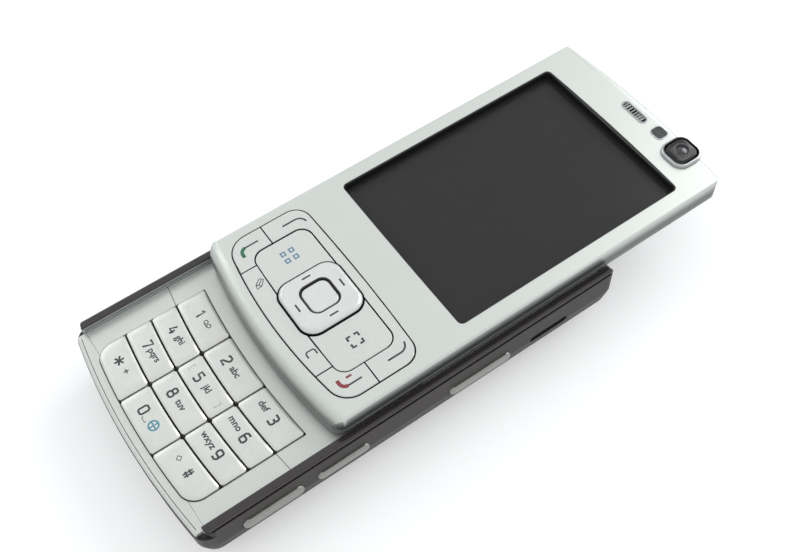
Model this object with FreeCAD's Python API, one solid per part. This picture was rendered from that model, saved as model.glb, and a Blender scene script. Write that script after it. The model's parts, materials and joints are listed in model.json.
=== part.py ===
import FreeCAD, Part
import math
import os
from dataclasses import dataclass, replace

# Slider phone in silver and dark plastic, lying on its back with the slider pushed up.
# X points to the phone's right, Y towards the earpiece, Z up out of the screen.
# The origin is the centre of the flat back face. All sizes are in millimetres.

V = FreeCAD.Vector

# Base half, outside
base_width = 53.0
base_length = 99.0
base_low_bow = 160.0
base_high_bow = 260.0
base_low_corner = 3.0
base_high_corner = 2.0
edge_run = 8.5
edge_rise = 9.5
edge_corner_growth = 0.45
edge_sections = 4

# Base half, heights from the back face upwards
floor_height = 8.6
board_room = 3.4
deck_thickness = 1.4
plate_thickness = 1.06
rim_height = 2.0
side_wall_height = 2.0

# Base half, walls
wall = 1.2
lap_wall = 0.6
lap_gap = 0.05
rim_width = 1.8
rim_step = 0.2
rim_lip = 0.6
rim_round = 0.45
rim_low_end = 3.6
rim_high_end = 1.3
rim_low_round = 1.6
rim_high_round = 2.2
seam_gap = 0.12
plate_gap = 0.05

# Slide mechanism
slide_open = 30.0
slide_travel = 47.0
slide_end_gap = 0.3
rail_thickness = 0.6
groove_depth = 0.4
runner_reach = 0.7
runner_thickness = 0.5
runner_lift = 0.49
runner_clearance = 0.07
runner_foot = 1.0
runner_length = 43.0
runner_middle = -6.5
carriage_plate = 0.5

# Number keys
keypad_width = 39.0
middle_column_width = 13.4
end_row_length = 6.4
middle_row_length = 5.7
keypad_end_margin = 2.7
keypad_bow = 158.0
keypad_low_corner = 3.5
key_gap = 0.4
key_corner = 0.4
key_height = 0.62
key_bevel = 0.32
key_foot_gap = 0.4
mat_thickness = 0.6
cap_line_margin = 4.1
cap_bridge_width = 1.0
cap_bridge_thickness = 0.45
cap_round = 0.4

# Media keys at the top of the base, under the slider at rest
media_key_count = 4
media_key_width = 10.8
media_key_length = 8.4
media_key_margin = 4.9

# Keys and speaker in the right side: middle along Y, middle height, length, height
camera_key_y = -32.9
camera_key_z = 10.35
camera_key_length = 12.9
camera_key_height = 2.9
gallery_key_y = -17.7
gallery_key_z = 10.4
gallery_key_length = 11.4
gallery_key_height = 2.2
volume_key_y = 14.05
volume_key_z = 9.95
volume_key_length = 14.7
volume_key_height = 2.3
volume_flange_gap = 0.3
side_key_proud = 0.45
side_key_gap = 0.12
side_key_flange = 0.6
side_key_flange_overhang = 0.8
side_key_bevel = 0.3
side_key_recess = 0.35
side_key_recess_depth = 0.35
speaker_y = 31.2
speaker_z = 9.6
speaker_length = 9.4
speaker_height = 2.0
speaker_slots = 6
speaker_slot_width = 0.6
speaker_plate = 0.6
left_speaker_y = 13.0

# Left side
jack_y = 33.0
jack_z = 9.35
jack_bore = 3.6
jack_barrel = 5.0
jack_length = 14.0
jack_bore_length = 13.0
card_door_y = -8.0
card_door_length = 13.0
card_door_z = 10.35
card_door_height = 2.8
card_door_thickness = 1.0
card_door_gap = 0.1

# Bottom end
charger_x = 12.0
charger_bore = 2.1
charger_barrel = 4.4
charger_length = 8.5
charger_bore_length = 7.0
usb_x = -2.0
usb_width = 7.7
usb_height = 3.9
usb_length = 8.5
usb_wall = 0.4
usb_tongue = 0.9
socket_z = 9.4
socket_gap = 0.05

# Battery and its cover, in the back
battery_width = 37.0
battery_length = 50.0
battery_thickness = 5.8
battery_corner = 1.5
battery_middle = -14.0
battery_lift = 0.15
bay_gap = 0.3
cover_overlap = 2.0
cover_end_strip = 3.2
cover_skin = 1.1
cover_gap = 0.1
cover_corner = 3.0

# Back camera under a sliding lens cover
lens_y = 37.0
camera_radius = 4.4
lens_glass = 0.6
lens_cover_width = 12.6
lens_cover_length = 12.0
lens_cover_thickness = 0.95
lens_cover_recess = 0.2
lens_cover_flange = 0.7
lens_cover_flange_thickness = 0.4
lens_cover_travel = 11.0
lens_cover_gap = 0.1
lens_cover_ribs = 4
lens_cover_rib_width = 0.5
lens_cover_rib_pitch = 1.2
flash_x = 12.0
flash_width = 5.0
flash_length = 3.0
flash_depth = 1.2

# Screws that hold the base together
screw_x = 16.0
screw_inset = 1.55
screw_sink = 0.5
screw_shank = 1.4
screw_head = 2.6
screw_head_height = 0.8
screw_gap = 0.05
screw_bite = 0.55

# Main board
board_thickness = 1.0
board_side_gap = 1.2
board_low_end = -39.5
board_high_margin = 3.0
shield_height = 2.0
shield_edge = 16.0
shield_gap = 2.5

# Slider, outside
slider_width = 48.6
slider_length = 98.5
slider_thickness = 5.5
slider_clearance = 1.04
slider_low_bow = 130.0
slider_high_bow = 220.0
slider_corner = 2.8
slider_low_round = 2.7
slider_high_round = 2.0
slider_side_round = 0.6
slider_under_round = 0.6
slider_back_height = 1.7
slider_seam = 0.1
slider_wall = 1.2
slider_floor = 1.0
face_thickness = 1.8

# Slider, front
window_width = 41.7
window_length = 55.7
window_top_margin = 10.25
window_corner = 1.2
window_high_bow = 500.0
glass_overlap = 0.8
glass_thickness = 0.9
earpiece_margin = 3.85
earpiece_length = 7.0
earpiece_width = 1.8
earpiece_slots = 7
earpiece_slot_width = 0.45
earpiece_sink = 0.2
sensor_x = 7.5
sensor_margin = 3.6
sensor_width = 3.1
sensor_length = 2.8
sensor_corner = 0.9
front_camera_x = 14.3
front_camera_margin = 3.8
front_camera_size = 7.3
front_camera_corner = 2.5
front_camera_ring_width = 0.6
front_camera_proud = 0.8
front_camera_cap_proud = 0.25
front_camera_lens_radius = 1.5
front_camera_stem = 3.6
piece_gap = 0.05

# Key cluster under the window
cluster_width = 43.2
cluster_length = 19.8
cluster_end_margin = 3.75
cluster_low_bow = 109.0
cluster_high_bow = 420.0
cluster_low_corner = 4.5
cluster_high_corner = 3.5
panel_width = 33.0
panel_length = 13.1
panel_top_margin = 2.4
panel_bow = 266.0
panel_corner = 2.5
soft_key_length = 9.9
strip_half_width = 13.8
cluster_gap = 0.28
cluster_proud = 0.2
cluster_bevel = 0.15
cluster_foot_gap = 0.4
ring_width = 13.6
ring_length = 14.0
ring_corner = 3.3
ring_middle_margin = 9.15
ring_proud = 1.25
ring_bevel = 0.9
web_thickness = 0.3
web_inset = 0.7
web_gap = 0.35
select_width = 6.5
select_length = 6.3
select_corner = 1.7
select_gap = 0.35
select_proud = 1.1
select_bevel = 0.4

# Power key in the top end of the slider
power_x = -9.0
power_width = 7.0
power_height = 1.3
power_proud = 0.4
power_depth = 2.2
power_gap = 0.1

# A radius that reads as a straight line
flat_bow = 2000.0


@dataclass(frozen=True)
class Outline:
    """Plan outline about the Y axis: straight sides, bowed ends and rounded corners."""

    half_width: float
    y_low: float
    y_high: float
    low_bow: float = flat_bow
    high_bow: float = flat_bow
    low_corner: float = 1.0
    high_corner: float = 1.0

    def grown(self, by):
        """The same outline with every edge moved outwards."""
        return replace(
            self,
            half_width=self.half_width + by,
            y_low=self.y_low - by,
            y_high=self.y_high + by,
            low_bow=self.low_bow + by,
            high_bow=self.high_bow + by,
            low_corner=self.low_corner + by,
            high_corner=self.high_corner + by,
        )

    def end_points(self, way, z):
        """Points of one end's right half: on the bow, mid corner, on the side, and the tip."""
        y_end, bow, corner = (
            (self.y_high, self.high_bow, self.high_corner)
            if way > 0
            else (self.y_low, self.low_bow, self.low_corner)
        )
        centre = y_end - way * bow
        reach = self.half_width - corner
        corner_y = centre + way * math.sqrt((bow - corner) ** 2 - reach**2)
        lean = math.asin(reach / (bow - corner))
        half_turn = (lean + math.pi / 2) / 2
        on_bow = V(bow * math.sin(lean), centre + way * bow * math.cos(lean), z)
        mid = V(
            reach + corner * math.sin(half_turn),
            corner_y + way * corner * math.cos(half_turn),
            z,
        )
        return on_bow, mid, V(self.half_width, corner_y, z), V(0, y_end, z)

    def wire(self, z):
        low_bow, low_mid, low_side, low_tip = self.end_points(-1, z)
        high_bow, high_mid, high_side, high_tip = self.end_points(1, z)
        return Part.Wire(
            [
                Part.Arc(mirrored(low_bow), low_tip, low_bow).toShape(),
                Part.Arc(low_bow, low_mid, low_side).toShape(),
                Part.LineSegment(low_side, high_side).toShape(),
                Part.Arc(high_side, high_mid, high_bow).toShape(),
                Part.Arc(high_bow, high_tip, mirrored(high_bow)).toShape(),
                Part.Arc(mirrored(high_bow), mirrored(high_mid), mirrored(high_side)).toShape(),
                Part.LineSegment(mirrored(high_side), mirrored(low_side)).toShape(),
                Part.Arc(mirrored(low_side), mirrored(low_mid), mirrored(low_bow)).toShape(),
            ]
        )

    def slab(self, z_low, z_high):
        return Part.Face(self.wire(z_low)).extrude(V(0, 0, z_high - z_low))

    def low_y(self, x):
        """Where the low end's bow lies at x."""
        return bow_y(x, self.y_low, self.low_bow)


def mirrored(point):
    return V(-point.x, point.y, point.z)


def bow_y(x, y_middle, bow):
    """Height of an arc that is lowest at x = 0."""
    return y_middle + bow - math.sqrt(bow**2 - x**2)


def box(x_low, x_high, y_low, y_high, z_low, z_high):
    return Part.makeBox(x_high - x_low, y_high - y_low, z_high - z_low, V(x_low, y_low, z_low))


def both_sides(shape):
    """The shape and its mirror image across the YZ plane, as one shape."""
    return shape.fuse(shape.mirror(V(0, 0, 0), V(1, 0, 0)))


def cylinder(radius, length, start, axis):
    return Part.makeCylinder(radius, length, start, axis)


def vertical_edges(shape):
    """Edges that run straight up."""
    return [
        edge
        for edge in shape.Edges
        if len(edge.Vertexes) == 2
        and abs(edge.Vertexes[0].X - edge.Vertexes[1].X) < 1e-6
        and abs(edge.Vertexes[0].Y - edge.Vertexes[1].Y) < 1e-6
    ]


def edges_at(shape, z):
    """Edges that lie flat at the height z."""
    return [
        edge
        for edge in shape.Edges
        if abs(edge.BoundBox.ZMin - z) < 1e-5 and abs(edge.BoundBox.ZMax - z) < 1e-5
    ]


def bevel_top(shape, width):
    """Bevel the edges of the highest flat face."""
    return shape.makeChamfer(width, edges_at(shape, shape.BoundBox.ZMax))


def rounded_box(x_mid, y_mid, width, length, corner, z_low, z_high):
    shape = box(
        x_mid - width / 2, x_mid + width / 2, y_mid - length / 2, y_mid + length / 2, z_low, z_high
    )
    return shape.makeFillet(corner, vertical_edges(shape))


def obround_along_y(length, height, x_low, x_high, y_mid, z_mid):
    """A bar with round ends that lies along Y, made through the side wall along X."""
    radius = height / 2
    reach = length / 2 - radius
    middle = box(x_low, x_high, y_mid - reach, y_mid + reach, z_mid - radius, z_mid + radius)
    ends = [
        cylinder(radius, x_high - x_low, V(x_low, y_mid + way * reach, z_mid), V(1, 0, 0))
        for way in (-1, 1)
    ]
    return middle.multiFuse(ends).removeSplitter()


def obround_along_x(length, width, x_mid, y_mid, z_low, z_high):
    """A bar with round ends that lies along X, made downwards through the face."""
    radius = width / 2
    reach = length / 2 - radius
    middle = box(x_mid - reach, x_mid + reach, y_mid - radius, y_mid + radius, z_low, z_high)
    ends = [
        cylinder(radius, z_high - z_low, V(x_mid + way * reach, y_mid, z_low), V(0, 0, 1))
        for way in (-1, 1)
    ]
    return middle.multiFuse(ends).removeSplitter()


def bowed_bar(x_low, x_high, y_low, y_high, bow, z_low, z_high):
    """A slab between two like bows, each lowest at x = 0, with straight sides."""
    x_mid = (x_low + x_high) / 2

    def at(x, y_middle):
        return V(x, bow_y(x, y_middle, bow), z_low)

    edges = [
        Part.Arc(at(x_low, y_low), at(x_mid, y_low), at(x_high, y_low)).toShape(),
        Part.LineSegment(at(x_high, y_low), at(x_high, y_high)).toShape(),
        Part.Arc(at(x_high, y_high), at(x_mid, y_high), at(x_low, y_high)).toShape(),
        Part.LineSegment(at(x_low, y_high), at(x_low, y_low)).toShape(),
    ]
    return Part.Face(Part.Wire(edges)).extrude(V(0, 0, z_high - z_low))


# Heights that the stack gives
deck_low = floor_height + board_room
deck_top = deck_low + deck_thickness
plate_top = deck_top + plate_thickness
rim_top = plate_top + rim_height
side_wall_top = deck_top + side_wall_height
slider_low = plate_top + slider_clearance
face_top = slider_low + slider_thickness
slider_seam_height = slider_low + slider_back_height
slider_floor_top = slider_low + slider_floor
face_under = face_top - face_thickness
key_foot = deck_top + key_foot_gap
cluster_foot = face_under - cluster_gap
slider_board_top = cluster_foot - cluster_foot_gap

# Widths and places that more than one piece uses
half_width = base_width / 2
half_length = base_length / 2
rim_inner = half_width - rim_width
rail_outer = rim_inner + rail_thickness
housing_lap_inner = half_width - lap_wall
frame_outer = housing_lap_inner - lap_gap
rim_outer = half_width - rim_step
plate_outer = rim_inner - plate_gap
rim_low_y = -half_length + rim_low_end
rim_high_y = half_length - rim_high_end
cap_line_y = -half_length + cap_line_margin
keypad_low = -half_length + keypad_end_margin
keypad_lines = [
    keypad_low,
    keypad_low + end_row_length,
    keypad_low + end_row_length + middle_row_length,
    keypad_low + end_row_length + 2 * middle_row_length,
    keypad_low + 2 * end_row_length + 2 * middle_row_length,
]
column_lines = [-keypad_width / 2, -middle_column_width / 2, middle_column_width / 2, keypad_width / 2]
seam_line = keypad_lines[3]
media_low = half_length - media_key_margin - media_key_length
media_half_width = media_key_count * media_key_width / 2
slider_half = slider_length / 2
cluster_low = -slider_half + cluster_end_margin
cluster_high = cluster_low + cluster_length
ring_middle = cluster_high - ring_middle_margin
soft_key_low = cluster_high - soft_key_length
window_high = slider_half - window_top_margin
cavity_wall = half_width - wall
cover_half_width = battery_width / 2 + bay_gap + cover_overlap
bay_low = battery_middle - battery_length / 2 - bay_gap
bay_high = battery_middle + battery_length / 2 + bay_gap
cover_low = bay_low - cover_end_strip
cover_high = bay_high + cover_end_strip
battery_low = cover_skin + cover_gap + battery_lift
bay_top = battery_low + battery_thickness + battery_lift
track_depth = lens_cover_recess + lens_cover_thickness + lens_cover_gap
track_high = lens_y + lens_cover_length / 2 + lens_cover_gap
track_low = lens_y - lens_cover_length / 2 - lens_cover_travel - lens_cover_gap

base_outline = Outline(
    half_width, -half_length, half_length, base_low_bow, base_high_bow, base_low_corner, base_high_corner
)
slider_outline = Outline(
    slider_width / 2,
    -slider_half,
    slider_half,
    slider_low_bow,
    slider_high_bow,
    slider_corner,
    slider_corner,
)
window_outline = Outline(
    window_width / 2,
    window_high - window_length,
    window_high,
    flat_bow,
    window_high_bow,
    window_corner,
    window_corner,
)
cluster_outline = Outline(
    cluster_width / 2,
    cluster_low,
    cluster_high,
    cluster_low_bow,
    cluster_high_bow,
    cluster_low_corner,
    cluster_high_corner,
)
panel_outline = Outline(
    panel_width / 2,
    cluster_high - panel_top_margin - panel_length,
    cluster_high - panel_top_margin,
    panel_bow,
    flat_bow,
    panel_corner,
    panel_corner,
)
ring_outline = Outline(
    ring_width / 2,
    ring_middle - ring_length / 2,
    ring_middle + ring_length / 2,
    flat_bow,
    flat_bow,
    ring_corner,
    ring_corner,
)
select_outline = Outline(
    select_width / 2,
    ring_middle - select_length / 2,
    ring_middle + select_length / 2,
    flat_bow,
    flat_bow,
    select_corner,
    select_corner,
)


def housing_form(top):
    """Outer form of the lower housing, with its rounded lower edges.

    The lower edge is a quarter ellipse all round, lofted through outlines whose corners
    grow as they turn under.
    """
    wires = []
    for section in range(edge_sections + 1):
        angle = math.pi / 2 * section / edge_sections
        inset = edge_run * (1 - math.sin(angle))
        height = edge_rise * (1 - math.cos(angle))
        outline = base_outline.grown(-inset)
        outline = replace(
            outline,
            low_corner=base_low_corner + edge_corner_growth * inset,
            high_corner=base_high_corner + edge_corner_growth * inset,
        )
        wires.append(outline.wire(height))
    lower = Part.makeLoft(wires, True, True)
    upper = Part.Face(wires[-1]).extrude(V(0, 0, top - edge_rise))
    return lower.fuse(upper)


def number_key_field(grow, z_low, z_high):
    """The field that the twelve number keys fill, with its two rounded lower corners."""
    half = keypad_width / 2 + grow
    field = bowed_bar(
        -half, half, keypad_lines[0] - grow, keypad_lines[-1] + grow, keypad_bow, z_low, z_high
    )
    lower = [edge for edge in vertical_edges(field) if edge.BoundBox.YMin < keypad_lines[1]]
    return field.makeFillet(keypad_low_corner + grow, lower)


def media_key_field(grow, z_low, z_high):
    half = media_half_width + grow
    return bowed_bar(
        -half,
        half,
        media_low - grow,
        media_low + media_key_length + grow,
        keypad_bow,
        z_low,
        z_high,
    )


def side_key_hole(length, height, y_mid, z_mid):
    """Cut for a key in the right wall: a through slot inside a shallow recess."""
    slot = obround_along_y(
        length + 2 * side_key_gap,
        height + 2 * side_key_gap,
        cavity_wall - wall,
        half_width + wall,
        y_mid,
        z_mid,
    )
    recess = obround_along_y(
        length + 2 * side_key_recess,
        height + side_key_recess,
        half_width - side_key_recess_depth,
        half_width + wall,
        y_mid,
        z_mid,
    )
    return slot.fuse(recess)


def side_key(length, height, y_mid, z_mid, flange_gap=lap_gap):
    """A side key: the bar that shows, and a flange behind the wall that keeps it in."""
    inner = cavity_wall - flange_gap
    bar = obround_along_y(
        length, height, inner - side_key_flange, half_width + side_key_proud, y_mid, z_mid
    )
    outer_face = [edge for edge in bar.Edges if edge.BoundBox.XMin > half_width + side_key_proud - 1e-4]
    bar = bar.makeChamfer(side_key_bevel, outer_face)
    reach = length / 2 + side_key_flange_overhang
    flange = box(
        inner - side_key_flange,
        inner,
        y_mid - reach,
        y_mid + reach,
        z_mid - height / 4,
        z_mid + height / 4,
    )
    return bar.fuse(flange)


def battery_cover_block(grow):
    """The upright block whose walls and flat inner side bound the battery cover."""
    return rounded_box(
        0,
        (cover_low + cover_high) / 2,
        2 * (cover_half_width + grow),
        cover_high - cover_low + 2 * grow,
        cover_corner + grow,
        -1,
        cover_skin + grow,
    )


def lens_cover_section(grow, y_low, y_high):
    """T-shaped section of the lens cover and of its track, laid along Y."""
    foot = lens_cover_recess + lens_cover_thickness
    body = box(
        -lens_cover_width / 2 - grow,
        lens_cover_width / 2 + grow,
        y_low,
        y_high,
        lens_cover_recess if grow == 0 else -1,
        foot + grow,
    )
    reach = lens_cover_width / 2 + lens_cover_flange + grow
    flange = box(
        -reach, reach, y_low, y_high, foot - lens_cover_flange_thickness - grow, foot + grow
    )
    return body.fuse(flange)


def screw_places():
    """Undersides of the four screw heads, in the strips at the ends of the battery bay."""
    return [
        V(way * screw_x, y, cover_skin + cover_gap + screw_sink)
        for y in (bay_low - screw_inset, bay_high + screw_inset)
        for way in (-1, 1)
    ]


def screw_holes(z_low, z_high, radius):
    holes = [
        cylinder(radius, z_high - z_low, V(place.x, place.y, z_low), V(0, 0, 1))
        for place in screw_places()
    ]
    return Part.makeCompound(holes)


def jack_hole(grow):
    return cylinder(
        jack_barrel / 2 + grow, jack_length + wall + grow, V(-half_width - wall, jack_y, jack_z), V(1, 0, 0)
    )


def charger_start():
    return V(charger_x, base_outline.low_y(charger_x) + wall / 2, socket_z)


def charger_hole(grow):
    start = charger_start() - V(0, wall, 0)
    return cylinder(charger_barrel / 2 + grow, charger_length + wall + grow, start, V(0, 1, 0))


def usb_start():
    return base_outline.low_y(usb_x) + wall / 2


def usb_block(grow, start, length):
    return box(
        usb_x - usb_width / 2 - grow,
        usb_x + usb_width / 2 + grow,
        start,
        start + length,
        socket_z - usb_height / 2 - grow,
        socket_z + usb_height / 2 + grow,
    )


def card_door_box(grow):
    return box(
        -half_width - 1,
        -half_width + card_door_thickness + grow,
        card_door_y - card_door_length / 2 - grow,
        card_door_y + card_door_length / 2 + grow,
        card_door_z - card_door_height / 2 - grow,
        card_door_z + card_door_height / 2 + grow,
    )


def speaker_bar(grow, x_low, x_high, y_mid):
    return obround_along_y(
        speaker_length + 2 * grow, speaker_height + 2 * grow, x_low, x_high, y_mid, speaker_z
    )


# Base half


def back_housing():
    """Lower housing: a tub with rounded lower edges, side walls and all its cut-outs."""
    side_walls = both_sides(
        box(housing_lap_inner, half_width, rim_low_y, rim_high_y, deck_top, side_wall_top)
    )
    side_walls = side_walls.common(rim_end_form())
    body = housing_form(deck_top).fuse(side_walls)
    cuts = [
        base_outline.grown(-wall).slab(floor_height, deck_low),
        base_outline.grown(-lap_wall).slab(deck_low, side_wall_top + 1),
        battery_cover_block(cover_gap),
        box(
            -battery_width / 2 - bay_gap,
            battery_width / 2 + bay_gap,
            bay_low,
            bay_high,
            -1,
            bay_top,
        ),
        lens_cover_section(lens_cover_gap, track_low, track_high),
        cylinder(camera_radius + piece_gap, floor_height, V(0, lens_y, 0), V(0, 0, 1)),
        rounded_box(
            flash_x,
            lens_y,
            flash_width + 2 * piece_gap,
            flash_length + 2 * piece_gap,
            piece_gap + flash_length / 4,
            -1,
            flash_depth,
        ),
        side_key_hole(camera_key_length, camera_key_height, camera_key_y, camera_key_z),
        side_key_hole(gallery_key_length, gallery_key_height, gallery_key_y, gallery_key_z),
        side_key_hole(volume_key_length, volume_key_height, volume_key_y, volume_key_z),
        speaker_bar(0, cavity_wall - wall, half_width + wall, speaker_y),
        speaker_bar(0, -half_width - wall, -cavity_wall + wall, left_speaker_y),
        jack_hole(socket_gap),
        charger_hole(socket_gap),
        usb_block(socket_gap, usb_start() - 2 * wall, usb_length + 2 * wall),
        card_door_box(card_door_gap),
        screw_holes(0, deck_low, screw_shank / 2 + screw_gap),
        screw_holes(
            0,
            cover_skin + cover_gap + screw_sink + screw_head_height + screw_gap,
            screw_head / 2 + screw_gap,
        ),
    ]
    for cut in cuts:
        body = body.cut(cut)
    return body


def rim_end_form():
    """Side profile of both rims: rounded where they end towards the earpiece."""
    profile = box(
        -half_width - 1, half_width + 1, rim_low_y, rim_high_y, deck_low - 1, rim_top
    )
    high_edges = [
        edge
        for edge in edges_at(profile, rim_top)
        if edge.BoundBox.YMin > rim_high_y - 1e-4
    ]
    profile = profile.makeFillet(rim_high_round, high_edges)
    plan = replace(
        base_outline.grown(0),
        y_low=rim_low_y,
        low_bow=flat_bow,
        low_corner=rim_low_round,
    )
    return profile.common(plan.slab(deck_low - 2, rim_top + 1))


def base_frame():
    """Inner frame: the deck under the plates and the two dark rims that hold the rails."""
    deck = base_outline.grown(-lap_wall - lap_gap).slab(deck_low, deck_top)
    low_wall = box(rim_inner, frame_outer, rim_low_y, rim_high_y, deck_top, plate_top)
    rail_wall = box(rail_outer, frame_outer, rim_low_y, rim_high_y, plate_top, rim_top)
    outer_band = box(
        rail_outer, rim_outer, rim_low_y, rim_high_y, side_wall_top + seam_gap, rim_top
    )
    lip = box(rim_inner, rim_outer, rim_low_y, rim_high_y, rim_top - rim_lip, rim_top)
    rim = low_wall.multiFuse([rail_wall, outer_band, lip]).removeSplitter()
    crown = [
        edge
        for edge in edges_at(rim, rim_top)
        if edge.BoundBox.XMin > rim_outer - 1e-4
    ]
    rim = rim.makeFillet(rim_round, crown)
    rims = both_sides(rim).common(rim_end_form())
    mat_pocket = number_key_field(piece_gap, deck_top - mat_thickness, deck_top + 1)
    body = deck.fuse(rims)
    body = body.cut(mat_pocket)
    return body.cut(screw_holes(deck_low - 1, deck_low + screw_bite, screw_shank / 2 + screw_gap))


def guide_rail(way):
    """Steel channel inside a rim: the slider's runner travels in its groove."""
    stop = slide_end_gap
    y_high = slide_open + runner_middle + runner_length / 2 + stop
    y_low = slide_open + runner_middle - runner_length / 2 - slide_travel - stop
    rail = box(
        rim_inner,
        rail_outer,
        rim_low_y,
        rim_high_y - rim_high_round,
        plate_top,
        rim_top - rim_lip,
    )
    groove = box(
        rim_inner - 1,
        rim_inner + groove_depth,
        y_low,
        y_high,
        plate_top + runner_lift - runner_clearance,
        plate_top + runner_lift + runner_thickness + runner_clearance,
    )
    rail = rail.cut(groove)
    return rail if way > 0 else rail.mirror(V(0, 0, 0), V(1, 0, 0))


def plate_form():
    """The flat top of the base between the rims, before it is parted."""
    return base_outline.grown(-lap_wall / 4).slab(deck_top, plate_top).common(
        box(-plate_outer, plate_outer, -base_length, base_length, deck_top, plate_top)
    )


def band(y_low, y_high):
    """A bowed band across the whole plate, to part it along a bowed seam."""
    return bowed_bar(-half_width, half_width, y_low, y_high, keypad_bow, deck_top - 1, plate_top + 1)


def keypad_plate_upper():
    """Silver plate that the slider covers: first key row, and the media keys."""
    plate = plate_form().common(band(seam_line + piece_gap, base_length))
    plate = plate.cut(number_key_field(key_gap / 2, deck_top - 1, plate_top + 1))
    return plate.cut(media_key_field(key_gap / 2, deck_top - 1, plate_top + 1))


def end_cap_form(gap):
    """Bottom end cap: it ends on a straight line at each flank and fits round the keys."""
    form = plate_form().common(
        box(-half_width, half_width, -base_length, cap_line_y - gap, deck_top, plate_top)
    )
    return form.cut(number_key_field(key_gap / 2 + gap, deck_top - 1, plate_top + 1))


def cap_bridge(grow):
    """Low strip under the end cap that ties the two flanks of the lower plate."""
    low = keypad_lines[0] - key_gap - cap_bridge_width
    return bowed_bar(
        -plate_outer + wall,
        plate_outer - wall,
        low - grow,
        low + cap_bridge_width + grow,
        keypad_bow,
        deck_top - grow,
        deck_top + cap_bridge_thickness + grow,
    )


def keypad_plate_lower():
    """Silver flanks beside the lower three key rows, tied by a strip under the end cap."""
    flanks = plate_form().common(band(-base_length, seam_line - piece_gap))
    flanks = flanks.common(
        box(-half_width, half_width, cap_line_y + piece_gap, base_length, deck_top, plate_top)
    )
    flanks = flanks.cut(number_key_field(key_gap / 2, deck_top - 1, plate_top + 1))
    ties = both_sides(
        box(
            plate_outer - 2 * wall,
            plate_outer - wall,
            cap_line_y - keypad_end_margin / 2,
            cap_line_y + wall,
            deck_top,
            deck_top + cap_bridge_thickness,
        )
    )
    return flanks.multiFuse([ties, cap_bridge(0)]).removeSplitter()


def end_cap():
    """Silver cap that closes the bottom end, with a softened outer edge."""
    cap = end_cap_form(0)
    outer = [
        edge
        for edge in edges_at(cap, plate_top)
        if edge.BoundBox.YMin < base_outline.low_y(plate_outer) - piece_gap
        and edge.BoundBox.YMax < keypad_lines[0]
    ]
    cap = cap.makeChamfer(cap_round, outer)
    ties = both_sides(
        box(
            plate_outer - 2 * wall - piece_gap,
            plate_outer - wall + piece_gap,
            cap_line_y - keypad_end_margin / 2 - piece_gap,
            cap_line_y + wall,
            deck_top - 1,
            deck_top + cap_bridge_thickness + piece_gap,
        )
    )
    return cap.cut(cap_bridge(piece_gap)).cut(ties)


def keypad_mat():
    """Rubber mat under the number keys, with one dome under each key."""
    return number_key_field(0, deck_top - mat_thickness + piece_gap, deck_top)


def number_key(column, row):
    """One number key. Rows count from the bottom end, columns from the left."""
    x_low = column_lines[column] + (key_gap / 2 if column else 0)
    x_high = column_lines[column + 1] - (key_gap / 2 if column < 2 else 0)
    cap = bowed_bar(
        x_low,
        x_high,
        keypad_lines[row] + (key_gap / 2 if row else 0),
        keypad_lines[row + 1] - (key_gap / 2 if row < 3 else 0),
        keypad_bow,
        key_foot,
        plate_top + key_height,
    )
    big, small = [], []
    for edge in vertical_edges(cap):
        outer = abs(abs(edge.Vertexes[0].X) - keypad_width / 2) < 1e-4
        lower = edge.BoundBox.YMin < keypad_lines[1] - middle_row_length / 2
        if outer and lower and row == 0:
            big.append(edge)
        else:
            small.append(edge)
    cap = cap.makeChamfer(key_corner, small)
    if big:
        corners = [
            edge
            for edge in vertical_edges(cap)
            if abs(abs(edge.Vertexes[0].X) - keypad_width / 2) < 1e-4
            and edge.BoundBox.YMin < keypad_lines[1] - middle_row_length / 2
        ]
        cap = cap.makeFillet(keypad_low_corner, corners)
    return bevel_top(cap, key_bevel)


def media_key(place):
    x_low = -media_half_width + place * media_key_width
    cap = bowed_bar(
        x_low + (key_gap / 2 if place else 0),
        x_low + media_key_width - (key_gap / 2 if place < media_key_count - 1 else 0),
        media_low,
        media_low + media_key_length,
        keypad_bow,
        key_foot,
        plate_top + key_height,
    )
    cap = cap.makeChamfer(key_corner, vertical_edges(cap))
    return bevel_top(cap, key_bevel)


def main_board():
    """Main circuit board with its shield cans, round the sockets and the screws."""
    half = cavity_wall - board_side_gap
    can_low = floor_height + board_thickness
    board = box(-half, half, board_low_end, half_length - board_high_margin, floor_height, can_low)
    can_top = can_low + shield_height
    cans = [
        box(-shield_edge, -shield_gap / 2, bay_low + 3 * wall, battery_middle, can_low, can_top),
        box(shield_gap / 2, shield_edge, bay_low + 6 * wall, battery_middle + 6 * wall, can_low, can_top),
        box(-shield_edge, shield_edge, cover_high, track_low + 3 * wall, can_low, can_top),
    ]
    board = board.multiFuse(cans)
    board = board.cut(jack_hole(2 * socket_gap))
    return board.cut(screw_holes(0, rim_top, screw_shank / 2 + screw_gap))


def battery():
    return rounded_box(
        0,
        battery_middle,
        battery_width,
        battery_length,
        battery_corner,
        battery_low,
        battery_low + battery_thickness,
    )


def battery_cover():
    """Back cover over the battery, whose outside is cut from the housing's own form."""
    return housing_form(deck_top).common(battery_cover_block(0))


def camera_module():
    low = track_depth + piece_gap + lens_glass
    return cylinder(camera_radius, floor_height - low, V(0, lens_y, low), V(0, 0, 1))


def camera_lens():
    return cylinder(camera_radius, lens_glass, V(0, lens_y, track_depth + piece_gap), V(0, 0, 1))


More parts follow.
